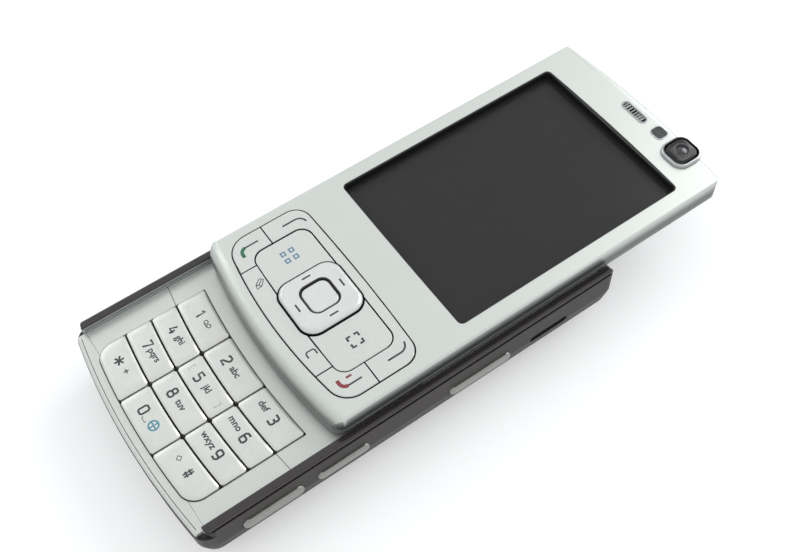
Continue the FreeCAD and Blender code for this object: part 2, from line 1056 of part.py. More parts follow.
def lens_cover():
    """Sliding cover over the back camera, with grip ribs, held by its flanges."""
    y_low = lens_y - lens_cover_length / 2
    cover = lens_cover_section(0, y_low, lens_y + lens_cover_length / 2)
    first = lens_y - (lens_cover_ribs - 1) * lens_cover_rib_pitch / 2
    grooves = [
        box(
            -lens_cover_width / 3,
            lens_cover_width / 3,
            first + rib * lens_cover_rib_pitch - lens_cover_rib_width / 2,
            first + rib * lens_cover_rib_pitch + lens_cover_rib_width / 2,
            0,
            lens_cover_recess + lens_cover_rib_width / 2,
        )
        for rib in range(lens_cover_ribs)
    ]
    return cover.cut(Part.makeCompound(grooves))


def flash_window():
    return rounded_box(
        flash_x, lens_y, flash_width, flash_length, flash_length / 4, piece_gap, flash_depth
    )


def speaker_grilles():
    """The two slotted plates behind the speaker openings in the side walls."""
    grilles = []
    for x_low, y_mid in ((cavity_wall, speaker_y), (-cavity_wall - speaker_plate, left_speaker_y)):
        plate = speaker_bar(-piece_gap, x_low, x_low + speaker_plate, y_mid)
        pitch = (speaker_length - speaker_height) / (speaker_slots - 1)
        slots = [
            box(
                x_low - 1,
                x_low + speaker_plate + 1,
                y_mid - (speaker_length - speaker_height) / 2 + place * pitch - speaker_slot_width / 2,
                y_mid - (speaker_length - speaker_height) / 2 + place * pitch + speaker_slot_width / 2,
                speaker_z - speaker_height / 3,
                speaker_z + speaker_height / 3,
            )
            for place in range(speaker_slots)
        ]
        grilles.append(plate.cut(Part.makeCompound(slots)))
    return Part.makeCompound(grilles)


def audio_jack():
    """Round headset socket in the left side."""
    start = V(-half_width, jack_y, jack_z)
    barrel = cylinder(jack_barrel / 2, jack_length, start, V(1, 0, 0))
    return barrel.cut(cylinder(jack_bore / 2, jack_bore_length, start, V(1, 0, 0)))


def charger_socket():
    """Round charger socket in the bottom end."""
    barrel = cylinder(charger_barrel / 2, charger_length, charger_start(), V(0, 1, 0))
    return barrel.cut(cylinder(charger_bore / 2, charger_bore_length, charger_start(), V(0, 1, 0)))


def usb_socket():
    """Data socket in the bottom end: a metal shell round a flat tongue."""
    shell = usb_block(0, usb_start(), usb_length)
    mouth = usb_block(-usb_wall, usb_start() - 1, usb_length + 1 - usb_wall)
    tongue = box(
        usb_x - usb_width / 2 + 3 * usb_wall,
        usb_x + usb_width / 2 - 3 * usb_wall,
        usb_start() + usb_wall,
        usb_start() + usb_length,
        socket_z - usb_tongue / 2,
        socket_z + usb_tongue / 2,
    )
    return shell.cut(mouth).fuse(tongue)


def base_screws():
    """Four screws from under the battery cover up into the deck."""
    screws = []
    for place in screw_places():
        head = cylinder(screw_head / 2, screw_head_height, place, V(0, 0, 1))
        shank = cylinder(
            screw_shank / 2, deck_low + screw_bite - piece_gap - place.z, place, V(0, 0, 1)
        )
        screws.append(head.fuse(shank))
    return Part.makeCompound(screws)


def card_door():
    """Flap over the memory card slot, cut from the housing's own form."""
    return housing_form(deck_top).common(card_door_box(0))


# Slider half, in its own frame: y = 0 is the middle of the slider


def end_round(outline, way, radius):
    """Body turned about the middle of an end's bow, so that the end rolls over at the top."""
    bow = outline.high_bow if way > 0 else outline.low_bow
    y_end = outline.y_high if way > 0 else outline.y_low
    low = slider_low - 1
    corner = V(bow - radius, 0, face_top - radius)
    edges = [
        Part.LineSegment(V(0, 0, low), V(bow, 0, low)).toShape(),
        Part.LineSegment(V(bow, 0, low), V(bow, 0, face_top - radius)).toShape(),
        Part.Arc(
            V(bow, 0, face_top - radius),
            corner + V(radius * math.sqrt(0.5), 0, radius * math.sqrt(0.5)),
            V(bow - radius, 0, face_top),
        ).toShape(),
        Part.LineSegment(V(bow - radius, 0, face_top), V(0, 0, face_top)).toShape(),
        Part.LineSegment(V(0, 0, face_top), V(0, 0, low)).toShape(),
    ]
    face = Part.Face(Part.Wire(edges))
    quarter = face.revolve(V(0, 0, 0), V(0, 0, 1), 60)
    quarter.rotate(V(0, 0, 0), V(0, 0, 1), 60 if way > 0 else -120)
    quarter.translate(V(0, y_end - way * bow, 0))
    return quarter


def slider_form():
    """Whole outer form of the slider: plan outline, rolled ends and softened sides."""
    half = slider_outline.half_width
    section = box(-half, half, -slider_half, slider_half, slider_low, face_top)
    long_edges = [
        edge
        for edge in section.Edges
        if abs(edge.BoundBox.YLength - slider_length) < 1e-3
    ]
    top = [edge for edge in long_edges if edge.BoundBox.ZMin > face_top - 1e-3]
    section = section.makeFillet(slider_side_round, top)
    under = [
        edge
        for edge in section.Edges
        if abs(edge.BoundBox.YLength - slider_length) < 1e-3
        and edge.BoundBox.ZMax < slider_low + 1e-3
    ]
    section = section.makeFillet(slider_under_round, under)
    form = slider_outline.slab(slider_low - 1, face_top + 1).common(section)
    half_span = box(-half - 1, half + 1, 0, slider_length, slider_low - 1, face_top + 1)
    upper = form.common(half_span).common(end_round(slider_outline, 1, slider_high_round))
    half_span.translate(V(0, -slider_length, 0))
    lower = form.common(half_span).common(end_round(slider_outline, -1, slider_low_round))
    return upper.fuse(lower).removeSplitter()


def earpiece_bar(grow, z_low, z_high):
    return obround_along_x(
        earpiece_length + 2 * grow,
        earpiece_width + 2 * grow,
        0,
        slider_half - earpiece_margin,
        z_low,
        z_high,
    )


def sensor_block(grow, z_low, z_high):
    return rounded_box(
        sensor_x,
        slider_half - sensor_margin,
        sensor_width + 2 * grow,
        sensor_length + 2 * grow,
        sensor_corner + grow,
        z_low,
        z_high,
    )


def front_camera_block(grow, z_low, z_high):
    size = front_camera_size + 2 * grow
    return rounded_box(
        front_camera_x,
        slider_half - front_camera_margin,
        size,
        size,
        front_camera_corner + grow,
        z_low,
        z_high,
    )


def power_bar(grow, y_low, y_high):
    radius = power_height / 2 + grow
    reach = power_width / 2 - power_height / 2
    z_mid = (slider_seam_height + face_under) / 2
    middle = box(power_x - reach, power_x + reach, y_low, y_high, z_mid - radius, z_mid + radius)
    ends = [
        cylinder(radius, y_high - y_low, V(power_x + way * reach, y_low, z_mid), V(0, 1, 0))
        for way in (-1, 1)
    ]
    return middle.multiFuse(ends).removeSplitter()


def front_cover():
    """Silver front cover: a shell with the window, the key cluster and the top row cut in."""
    seam_top = slider_seam_height + slider_seam
    upper_part = box(-slider_width, slider_width, -slider_length, slider_length, seam_top, face_top)
    cover = slider_form().common(upper_part)
    above = face_top + 1
    cuts = [
        slider_outline.grown(-slider_wall).slab(slider_low, face_under),
        window_outline.slab(slider_low, above),
        cluster_outline.grown(cluster_gap).slab(slider_low, above),
        earpiece_bar(piece_gap, slider_low, above),
        sensor_block(piece_gap, slider_low, above),
        front_camera_block(piece_gap, slider_low, above),
        power_bar(power_gap, slider_half - 2 * power_depth, slider_half + 1),
    ]
    for cut in cuts:
        cover = cover.cut(cut)
    return cover


def slider_back():
    """Back of the slider: a shallow tray that carries the slide carriage underneath."""
    tray = slider_form().common(
        box(-slider_width, slider_width, -slider_length, slider_length, slider_low, slider_seam_height)
    )
    tray = tray.cut(slider_outline.grown(-slider_wall).slab(slider_floor_top, slider_seam_height + 1))
    return tray.cut(
        box(
            -slider_width,
            slider_width,
            runner_middle - runner_length / 2 - piece_gap,
            runner_middle + runner_length / 2 + piece_gap,
            slider_low - 1,
            slider_low + carriage_plate,
        )
    )


def slide_carriage():
    """Steel plate under the slider with a runner along each side, for the base's rails."""
    y_low = runner_middle - runner_length / 2
    y_high = runner_middle + runner_length / 2
    side = slider_width / 2 - piece_gap
    runner_low = plate_top + runner_lift
    plate = box(-side, side, y_low, y_high, slider_low, slider_low + carriage_plate)
    runners = both_sides(
        box(
            side - runner_foot,
            slider_width / 2 + runner_reach,
            y_low,
            y_high,
            runner_low,
            runner_low + runner_thickness,
        )
    )
    feet = both_sides(box(side - runner_foot, side, y_low, y_high, runner_low, slider_low + carriage_plate))
    return plate.multiFuse([runners, feet]).removeSplitter()


def display_window():
    """Glass over the display, held against the underside of the face."""
    return window_outline.grown(glass_overlap).slab(face_under - glass_thickness, face_under)


def display_module():
    """Display panel under the glass, seated on the slider's floor."""
    return window_outline.grown(glass_overlap).slab(slider_floor_top, face_under - glass_thickness)


def slider_board():
    """Key board of the slider, with the contacts under the key cluster."""
    board = cluster_outline.grown(cluster_gap).slab(slider_floor_top, slider_board_top)
    inside = slider_outline.grown(-slider_wall - piece_gap).slab(slider_low, face_top)
    return board.common(inside)


def earpiece_grille():
    """Earpiece insert: a rim round a row of upright slots."""
    top = face_top + piece_gap
    bar = earpiece_bar(0, face_under, top)
    sink = earpiece_bar(-earpiece_sink, top - earpiece_sink, top + 1)
    pitch = (earpiece_length - earpiece_width) / (earpiece_slots - 1)
    first = -(earpiece_length - earpiece_width) / 2
    y_mid = slider_half - earpiece_margin
    reach = earpiece_width / 2 - earpiece_sink
    slots = [
        box(
            first + place * pitch - earpiece_slot_width / 2,
            first + place * pitch + earpiece_slot_width / 2,
            y_mid - reach,
            y_mid + reach,
            face_under - 1,
            top,
        )
        for place in range(earpiece_slots)
    ]
    return bar.cut(sink).cut(Part.makeCompound(slots))


def light_sensor_window():
    return sensor_block(0, face_under, face_top)


def front_camera_ring():
    """Bright raised ring round the front camera."""
    top = face_top + front_camera_proud
    ring = front_camera_block(0, face_under, top)
    ring = ring.makeChamfer(front_camera_ring_width / 2, edges_at(ring, top))
    return ring.cut(front_camera_block(-front_camera_ring_width, face_under - 1, top + 1))


def front_camera_lens():
    """Dark cushion-shaped cap of the front camera, with a lens and a stem below."""
    top = face_top + front_camera_proud + front_camera_cap_proud
    cap = front_camera_block(-front_camera_ring_width - piece_gap, face_under, top)
    cap = cap.makeChamfer(front_camera_ring_width, edges_at(cap, top))
    centre = V(front_camera_x, slider_half - front_camera_margin, 0)
    dish_depth = front_camera_lens_radius / 2
    dish = Part.makeCone(
        front_camera_lens_radius / 2,
        front_camera_lens_radius,
        dish_depth,
        centre + V(0, 0, top - dish_depth),
        V(0, 0, 1),
    )
    stem = cylinder(
        front_camera_stem / 2,
        face_under - slider_floor_top,
        centre + V(0, 0, slider_floor_top),
        V(0, 0, 1),
    )
    return cap.cut(dish).fuse(stem)


def cluster_slab(outline, grow):
    return outline.grown(grow).slab(cluster_foot, face_top + cluster_proud)


def cluster_part(x_low, x_high, y_low, y_high):
    return box(x_low, x_high, y_low, y_high, cluster_foot - 1, face_top + ring_proud + 1)


def cluster_border():
    """Border of the cluster round the inner panel, with its outer edge softened."""
    border = bevel_top(cluster_slab(cluster_outline, 0), cluster_bevel)
    return border.cut(cluster_slab(panel_outline, cluster_gap))


def ring_clearance():
    return cluster_slab(ring_outline, cluster_gap)


def soft_key_strip():
    """Both soft keys and the strip between them: one piece that rocks."""
    half = slider_width / 2
    part = cluster_part(-half, half, soft_key_low, slider_half)
    return cluster_border().common(part).cut(ring_clearance())


def corner_key(way):
    """Call key or end key, in a lower corner of the cluster."""
    inner = strip_half_width + cluster_gap
    outer = slider_width / 2
    part = cluster_part(inner, outer, -slider_half, soft_key_low - cluster_gap)
    if way < 0:
        part = part.mirror(V(0, 0, 0), V(1, 0, 0))
    return cluster_border().common(part)


def edit_clear_key():
    """Strip below the panel that rocks between its edit end and its clear end."""
    part = cluster_part(-strip_half_width, strip_half_width, -slider_half, ring_middle)
    return cluster_border().common(part).cut(ring_clearance())


def panel_key(way):
    """Menu key or multimedia key: the panel beside the navigation ring."""
    part = cluster_part(0, slider_width, -slider_half, slider_half)
    if way < 0:
        part = part.mirror(V(0, 0, 0), V(1, 0, 0))
    panel = bevel_top(cluster_slab(panel_outline, 0), cluster_bevel)
    return panel.cut(ring_clearance()).common(part)


def nav_web():
    """Rubber web that carries the navigation ring and lets it rock both ways."""
    low = slider_board_top + web_gap
    web = ring_outline.grown(-web_inset).slab(low, low + web_thickness)
    return web.cut(select_outline.grown(select_gap + piece_gap).slab(low - 1, low + 1))


def nav_ring():
    """Raised four-way ring with a bevelled outer edge."""
    low = slider_board_top + 2 * web_gap + web_thickness
    ring = ring_outline.slab(low, face_top + ring_proud)
    ring = bevel_top(ring, ring_bevel)
    return ring.cut(select_outline.grown(select_gap).slab(low - 1, face_top + ring_proud + 1))


def select_key():
    low = slider_board_top + web_gap
    return bevel_top(select_outline.slab(low, face_top + select_proud), select_bevel)


def power_key():
    """Power key in the top end of the slider."""
    y_high = bow_end(power_x) + power_proud
    key = power_bar(0, y_high - power_depth, y_high)
    outer = [edge for edge in key.Edges if edge.BoundBox.YMin > y_high - 1e-4]
    return key.makeChamfer(power_gap * 2, outer)


def bow_end(x):
    """Where the slider's top end lies at x."""
    return slider_half - slider_high_bow + math.sqrt(slider_high_bow**2 - x**2)


def on_slider(shape):
    """Move a piece from the slider's own frame to where it rests, slid open."""
    return shape.translated(V(0, slide_open, 0))


def build():
    """Every piece by its node name."""
    pieces = {
        "back_housing": back_housing(),
        "base_frame": base_frame(),
        "guide_rail_left": guide_rail(-1),
        "guide_rail_right": guide_rail(1),
        "keypad_plate_upper": keypad_plate_upper(),
        "keypad_plate_lower": keypad_plate_lower(),
        "end_cap": end_cap(),
        "keypad_mat": keypad_mat(),
        "main_board": main_board(),
        "battery": battery(),
        "battery_cover": battery_cover(),
        "camera_module": camera_module(),
        "camera_lens": camera_lens(),
        "lens_cover": lens_cover(),
        "flash_window": flash_window(),
        "speaker_grilles": speaker_grilles(),
        "audio_jack": audio_jack(),
        "charger_socket": charger_socket(),
        "usb_socket": usb_socket(),
        "base_screws": base_screws(),
        "card_door": card_door(),
        "camera_key": side_key(camera_key_length, camera_key_height, camera_key_y, camera_key_z),
        "gallery_key": side_key(
            gallery_key_length, gallery_key_height, gallery_key_y, gallery_key_z
        ),
        "volume_rocker": side_key(
            volume_key_length, volume_key_height, volume_key_y, volume_key_z, volume_flange_gap
        ),
    }
    rows = (("star", "0", "hash"), ("7", "8", "9"), ("4", "5", "6"), ("1", "2", "3"))
    for row, names in enumerate(rows):
        for column, name in enumerate(names):
            pieces["key_" + name] = number_key(column, row)
    for place in range(media_key_count):
        pieces["media_key_%d" % (place + 1)] = media_key(place)
    slider = {
        "front_cover": front_cover(),
        "slider_back": slider_back(),
        "slide_carriage": slide_carriage(),
        "display_window": display_window(),
        "display_module": display_module(),
        "slider_board": slider_board(),
        "earpiece_grille": earpiece_grille(),
        "light_sensor_window": light_sensor_window(),
        "front_camera_ring": front_camera_ring(),
        "front_camera_lens": front_camera_lens(),
        "soft_key_strip": soft_key_strip(),
        "call_key": corner_key(-1),
        "end_key": corner_key(1),
        "edit_clear_key": edit_clear_key(),
        "menu_key": panel_key(-1),
        "multimedia_key": panel_key(1),
        "nav_web": nav_web(),
        "nav_ring": nav_ring(),
        "select_key": select_key(),
        "power_key": power_key(),
    }
    for name, shape in slider.items():
        pieces[name] = on_slider(shape)
    return pieces


def main():
    os.makedirs("parts", exist_ok=True)
    for name, shape in build().items():
        shape.exportStep("parts/" + name + ".step")
        print(name, "solids", len(shape.Solids), "volume %.1f" % shape.Volume, "valid", shape.isValid())


main()
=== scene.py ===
"""Finishes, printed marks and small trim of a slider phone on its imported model, in metres."""

import json
import logging
import math
from dataclasses import dataclass, field
from enum import Enum

import bmesh
import bpy
from mathutils import Matrix, Vector

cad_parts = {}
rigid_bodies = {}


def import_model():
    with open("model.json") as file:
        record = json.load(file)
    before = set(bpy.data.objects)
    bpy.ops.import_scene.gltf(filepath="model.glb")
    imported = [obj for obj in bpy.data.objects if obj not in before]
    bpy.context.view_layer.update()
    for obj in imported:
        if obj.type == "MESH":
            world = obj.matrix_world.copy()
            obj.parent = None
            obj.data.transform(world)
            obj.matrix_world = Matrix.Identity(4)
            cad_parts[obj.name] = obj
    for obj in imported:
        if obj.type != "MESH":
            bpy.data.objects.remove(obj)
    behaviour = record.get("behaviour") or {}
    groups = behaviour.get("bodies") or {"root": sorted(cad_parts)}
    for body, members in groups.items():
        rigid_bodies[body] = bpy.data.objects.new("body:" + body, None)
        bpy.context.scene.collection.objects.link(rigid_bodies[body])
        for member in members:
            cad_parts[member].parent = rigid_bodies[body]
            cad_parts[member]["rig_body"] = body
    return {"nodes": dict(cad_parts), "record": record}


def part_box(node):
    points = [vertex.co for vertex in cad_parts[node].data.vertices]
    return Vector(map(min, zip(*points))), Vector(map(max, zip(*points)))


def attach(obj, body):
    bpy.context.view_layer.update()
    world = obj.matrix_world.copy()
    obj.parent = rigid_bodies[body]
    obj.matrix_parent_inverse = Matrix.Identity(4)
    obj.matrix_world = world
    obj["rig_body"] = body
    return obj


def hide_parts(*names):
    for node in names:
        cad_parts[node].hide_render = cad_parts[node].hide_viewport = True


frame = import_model()

MM = 0.001
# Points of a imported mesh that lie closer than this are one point.
MERGE_MM = 0.002
# Points of a drawn mark or a small trim piece that lie closer than this are one point.
FINE_MERGE_MM = 0.0005
# Faces that turn less than this are one flat face.
FLAT_DEG = 0.6
# Size of the slow change of colour over every finish, and its share beside the fine one.
BROAD_MM = 14.0
BROAD_SHARE = 0.35
# How far the roughness wanders about its middle, on brushed metal and on all else.
BRUSHED_SPREAD = 0.22
PLAIN_SPREAD = 0.12
# The wave texture repeats at this distance where its scale is 1.
WAVE_PITCH = 0.314
LOG = logging.getLogger("slider_phone")
# Brushing runs along the phone: how a brushed pattern is stretched along X, Y and Z.
BRUSHING = (1.0, 0.04, 1.0)
Point = tuple[float, float]


class Pattern(Enum):
    """How a surface was made, which decides its fine detail."""

    PAINTED = "sprayed metallic paint"
    BRUSHED = "brushed sheet metal"
    MOULDED = "spark-eroded moulding"
    POLISHED = "polished moulding or plating"
    CLEAR = "clear glass"
    PRINTED = "screen-printed ink"


def linear(hex_colour: str) -> tuple[float, float, float, float]:
    """Turn an sRGB hex colour into a linear colour.

    Args:
        hex_colour: Six hex digits, without a hash sign.

    Returns:
        The linear red, green, blue and an alpha of 1.
    """
    values = []
    for start in (0, 2, 4):
        share = int(hex_colour[start : start + 2], 16) / 255
        low = share / 12.92
        high = ((share + 0.055) / 1.055) ** 2.4
        values.append(low if share <= 0.04045 else high)
    return (values[0], values[1], values[2], 1.0)


def add_node(
    tree: bpy.types.NodeTree,
    kind: str,
    values: dict[str, object] | None = None,
    links: dict[str, bpy.types.NodeSocket] | None = None,
    **settings: object,
) -> bpy.types.Node:
    """Add a node with its settings, its input values and its links.

    Args:
        tree: The node tree that gets the node.
        kind: The node's type name.
        values: Input values by socket name or number.
        links: Output sockets to link, by input name or number.
        **settings: The node's own properties.

    Returns:
        The new node.
    """
    node = tree.nodes.new(kind)
    for name, value in settings.items():
        setattr(node, name, value)
    for name, value in (values or {}).items():
        node.inputs[name].default_value = value
    for name, socket in (links or {}).items():
        tree.links.new(socket, node.inputs[name])
    return node


@dataclass(frozen=True)
class Finish:
    """One finish of the phone: what it is made of and how its surface was made.

    Attributes:
        name: The material's name.
        colour: Main colour, sRGB hex.
        shade: Second colour of the fine variation, sRGB hex.
        pattern: How the surface was made.
        roughness: Middle roughness.
        metallic: Share of metal.
        grain_mm: Size of the fine pattern.
        relief_mm: Depth of the fine pattern.
        coat: Weight of a clear lacquer.
        ribs_mm: Pitch of fine ribs along the height, or 0 for none.
        shine: Level of the mirror shine, where 0.5 is plain plastic or glass.
        painted_shade_colour: Colour of painted shade low on the piece, sRGB hex, or empty for none.
        painted_shade_mm: Heights between which the painted shade gives way to the main colour.
    """

    name: str
    colour: str
    shade: str
    pattern: Pattern
    roughness: float
    metallic: float = 0.0
    grain_mm: float = 0.3
    relief_mm: float = 0.004
    coat: float = 0.0
    ribs_mm: float = 0.0
    shine: float = 0.5
    painted_shade_colour: str = ""
    painted_shade_mm: tuple[float, float] = (0.0, 0.0)

    def material(self) -> bpy.types.Material:
        """Make the node material, or return it where it is made already.

        Returns:
            The material.
        """
        made = bpy.data.materials.get(self.name)
        if made:
            return made
        made = bpy.data.materials.new(self.name)
        made.use_nodes = True
        tree = made.node_tree
        shader = tree.nodes["Principled BSDF"]
        shader.inputs["Metallic"].default_value = self.metallic
        shader.inputs["Coat Weight"].default_value = self.coat
        shader.inputs["Coat Roughness"].default_value = 0.08
        shader.inputs["Specular IOR Level"].default_value = self.shine
        place = add_node(tree, "ShaderNodeTexCoord").outputs["Object"]
        if self.pattern is Pattern.BRUSHED:
            stretch = add_node(tree, "ShaderNodeMapping", {"Scale": BRUSHING}, {"Vector": place})
            place = stretch.outputs["Vector"]
        fine = add_node(
            tree,
            "ShaderNodeTexNoise",
            {"Scale": 1 / (self.grain_mm * MM), "Detail": 3.0, "Roughness": 0.6},
            {"Vector": place},
        )
        broad = add_node(
            tree,
            "ShaderNodeTexNoise",
            {"Scale": 1 / (BROAD_MM * MM), "Detail": 2.0},
            {"Vector": place},
        )
        mixed = add_node(
            tree,
            "ShaderNodeMix",
            {"Factor": BROAD_SHARE},
            {2: fine.outputs["Fac"], 3: broad.outputs["Fac"]},
            data_type="FLOAT",
        )
        ramp = add_node(tree, "ShaderNodeValToRGB", links={"Fac": mixed.outputs[0]})
        ramp.color_ramp.elements[0].position = 0.36
        ramp.color_ramp.elements[0].color = linear(self.shade)
        ramp.color_ramp.elements[1].position = 0.62
        ramp.color_ramp.elements[1].color = linear(self.colour)
        paint = ramp.outputs["Color"]
        # Painted shade: below the first of the low heights the piece takes the low colour, above the second
        # its own colour.
        if self.painted_shade_colour:
            parts = add_node(tree, "ShaderNodeSeparateXYZ", links={"Vector": place})
            share = add_node(
                tree,
                "ShaderNodeMapRange",
                {"From Min": self.painted_shade_mm[0] * MM, "From Max": self.painted_shade_mm[1] * MM},
                {"Value": parts.outputs["Z"]},
            )
            paint = add_node(
                tree,
                "ShaderNodeMix",
                {6: linear(self.painted_shade_colour)},
                {"Factor": share.outputs["Result"], 7: paint},
                data_type="RGBA",
            ).outputs[2]
        tree.links.new(paint, shader.inputs["Base Color"])
        spread = BRUSHED_SPREAD if self.pattern is Pattern.BRUSHED else PLAIN_SPREAD
        rough = add_node(
            tree,
            "ShaderNodeMapRange",
            {
                "From Min": 0.35,
                "From Max": 0.65,
                "To Min": self.roughness * (1 - spread),
                "To Max": self.roughness * (1 + spread),
            },
            {"Value": fine.outputs["Fac"]},
        )
        tree.links.new(rough.outputs["Result"], shader.inputs["Roughness"])
        height = fine.outputs["Fac"]
        depth = self.relief_mm * MM
        if self.ribs_mm:
            bands = add_node(
                tree,
                "ShaderNodeTexWave",
                {"Scale": WAVE_PITCH / (self.ribs_mm * MM), "Distortion": 0.0},
                {"Vector": place},
                bands_direction="Z",
            )
            height = bands.outputs["Fac"]
            depth = self.ribs_mm * MM / 4
        bump = add_node(
            tree, "ShaderNodeBump", {"Strength": 1.0, "Distance": depth}, {"Height": height}
        )
        tree.links.new(bump.outputs["Normal"], shader.inputs["Normal"])
        if self.pattern is Pattern.CLEAR:
            shader.inputs["Transmission Weight"].default_value = 0.9
            shader.inputs["IOR"].default_value = 1.5
        return made


# The numbers of a finish are its roughness, metallic, grain in mm, relief in mm and coat.

# Sprayed metallic paint on moulded polycarbonate: pale silver, faintly green, with fine flake.
# Its low colour is painted: a dark painted reflection on the rolled ends and side walls, and painted shade
# on the walls of its openings.
FACE_PAINT_AND_SHADE = Finish(
    "face_silver_paint_and_shade", "d3d8d3", "cfd4cf", Pattern.PAINTED, 0.34, 0.55, 0.35, 0.0005, 0.1,
    painted_shade_colour="626663", painted_shade_mm=(18.3, 20.75),
)
# The same paint on the cluster's keys, with painted shade on their sides below the edge of the top, which
# darkens the gaps between them.
CLUSTER_PAINT_AND_SHADE = Finish(
    "cluster_key_paint_and_shade", "d6dad6", "d2d6d2", Pattern.PAINTED, 0.34, 0.55, 0.35, 0.0005, 0.1,
    painted_shade_colour="151616", painted_shade_mm=(20.98, 21.06),
)
# The same paint a little darker on the slider's lower shell, with fine ribs along its wall.
SHELL_PAINT = Finish(
    "slider_shell_paint", "8b8e8d", "7c7f7e", Pattern.PAINTED, 0.36, 0.5, 0.3, 0.002, ribs_mm=0.5
)
# Sprayed satin silver on the keypad's fixed plates and the end cap.
PLATE_PAINT = Finish(
    "keypad_plate_paint", "d2d6d1", "cdd1cc", Pattern.PAINTED, 0.32, 0.55, 0.3, 0.0006
)
# Painted polycarbonate key tops: a warmer, softer silver than the face.
KEY_PAINT = Finish("key_top_paint", "dadcd7", "d6d8d3", Pattern.PAINTED, 0.3, 0.5, 2.5, 0.0)
# Lacquered silver of the navigation ring and the select key, which shine most.
# Its low colour is painted shade on the lower walls of the ring and the select key, in the gaps round them.
NAV_PAINT_AND_SHADE = Finish(
    "navigation_silver_and_shade", "dfe1de", "dcdedb", Pattern.PAINTED, 0.32, 0.6, 2.5, 0.0,
    painted_shade_colour="121212", painted_shade_mm=(21.42, 21.58),
)
# Brushed aluminium of the keys in the side, which draws a soft bright line along each.
SIDE_METAL = Finish("side_key_metal", "9fa09c", "8c8d89", Pattern.BRUSHED, 0.28, 0.85, 0.15, 0.002)
# High-gloss ABS in a dark plum brown, which mirrors the table along the rims.
RIM_GLOSS = Finish("plum_gloss_abs", "2d2729", "272224", Pattern.POLISHED, 0.2, 0.0, 2.0, 0.0005, 0.3)
# Soft-touch ABS of the lower housing, spark-eroded to an even matt grain.
HOUSING_ABS = Finish(
    "housing_matt_abs", "332e2b", "2b2724", Pattern.MOULDED, 0.45, 0.0, 0.28, 0.006, shine=0.3
)
# The same moulding a touch smoother on covers that come off.
COVER_ABS = Finish(
    "cover_matt_abs", "312c29", "292522", Pattern.MOULDED, 0.43, 0.0, 0.28, 0.006, shine=0.3
)
# Rolled stainless steel of the rails and the carriage, brushed along the way they slide.
RAIL_STEEL = Finish("rolled_steel", "c0c2c4", "a9acae", Pattern.BRUSHED, 0.36, 0.4, 0.12, 0.001)
# Stamped nickel of the data socket, the screws and the earpiece's slats: a dull metal shine.
NICKEL = Finish("stamped_nickel", "a3a4a4", "8f9090", Pattern.BRUSHED, 0.3, 0.95, 0.15, 0.002)
# Bright chrome plating on the trim rings, which mirrors the room.
CHROME = Finish("chrome_plating", "c4c5c7", "bcbdc0", Pattern.POLISHED, 0.10, 1.0, 1.0, 0.0005)
# Black moulded nylon inside sockets and round the display.
BLACK_NYLON = Finish("black_nylon", "161817", "101211", Pattern.MOULDED, 0.42, 0.0, 0.25, 0.004)
# Silicone rubber of the dome mat and the web under the navigation ring.
RUBBER = Finish("silicone_rubber", "2a2a2b", "222223", Pattern.MOULDED, 0.62, 0.0, 0.25, 0.006)
# Solder-masked glass-fibre board.
BOARD = Finish("green_circuit_board", "1f5a37", "1a4d2f", Pattern.POLISHED, 0.38, 0.0, 1.2, 0.004)
# Shrink wrap round the cell.
WRAP = Finish("battery_wrap", "8a8d90", "7c7f82", Pattern.PRINTED, 0.4, 0.1, 0.8, 0.002)
# The unlit panel under the glass: nearly black and without a sheen of its own.
PANEL_BLACK = Finish(
    "unlit_panel", "0b0c0c", "0a0b0b", Pattern.MOULDED, 0.7, 0.0, 3.0, 0.0, shine=0.0
)
# Hardened glass over the panel.
WINDOW_GLASS = Finish(
    "window_glass", "3a3d3d", "3a3d3d", Pattern.CLEAR, 0.03, 0.0, 3.0, 0.0, shine=0.18
)
# Dark tinted lens caps.
LENS_BLACK = Finish("tinted_lens_cap", "101012", "0d0d0f", Pattern.POLISHED, 0.14, 0.0, 2.0, 0.0, 0.0)
# Milky plastic of the flash.
FLASH = Finish("flash_diffuser", "e6e8e4", "dcdeda", Pattern.POLISHED, 0.22, 0.0, 0.5, 0.006)
# Smoked plastic of the light sensor.
SMOKED = Finish("smoked_plastic", "3c3f3e", "333635", Pattern.POLISHED, 0.14, 0.0, 1.0, 0.001)
# Fine woven steel behind the sound holes, in shadow.
DARK_MESH = Finish("dark_steel_mesh", "2b2a28", "1d1c1b", Pattern.BRUSHED, 0.5, 0.4, 0.2, 0.01)
# Coated glass of the small camera's eye: near black with a blue sheen.
EYE_GLASS = Finish("coated_eye_glass", "1b1f2a", "141821", Pattern.POLISHED, 0.04, 0.0, 1.0, 0.0, 0.8)
# Flash gold on the spring contacts.
CONTACT_GOLD = Finish("contact_gold", "cfa85a", "c39b4e", Pattern.POLISHED, 0.2, 1.0, 0.5, 0.001)
# Screen-printed inks of the legends.
GREY_INK = Finish("grey_ink", "3d4347", "383e42", Pattern.PRINTED, 0.5, 0.0, 0.3, 0.001)
BLUE_INK = Finish("blue_grey_ink", "6688a2", "61829c", Pattern.PRINTED, 0.5, 0.0, 0.3, 0.001)
TEAL_INK = Finish("teal_ink", "3f8fa3", "39889c", Pattern.PRINTED, 0.5, 0.0, 0.3, 0.001)
PALE_INK = Finish("pale_grey_ink", "a9aeac", "a2a7a5", Pattern.PRINTED, 0.45, 0.2, 0.3, 0.001)
GREEN_INK = Finish("green_ink", "2f705b", "2b6a55", Pattern.PRINTED, 0.5, 0.0, 0.3, 0.001)
RED_INK = Finish("red_ink", "8f3540", "88313b", Pattern.PRINTED, 0.5, 0.0, 0.3, 0.001)

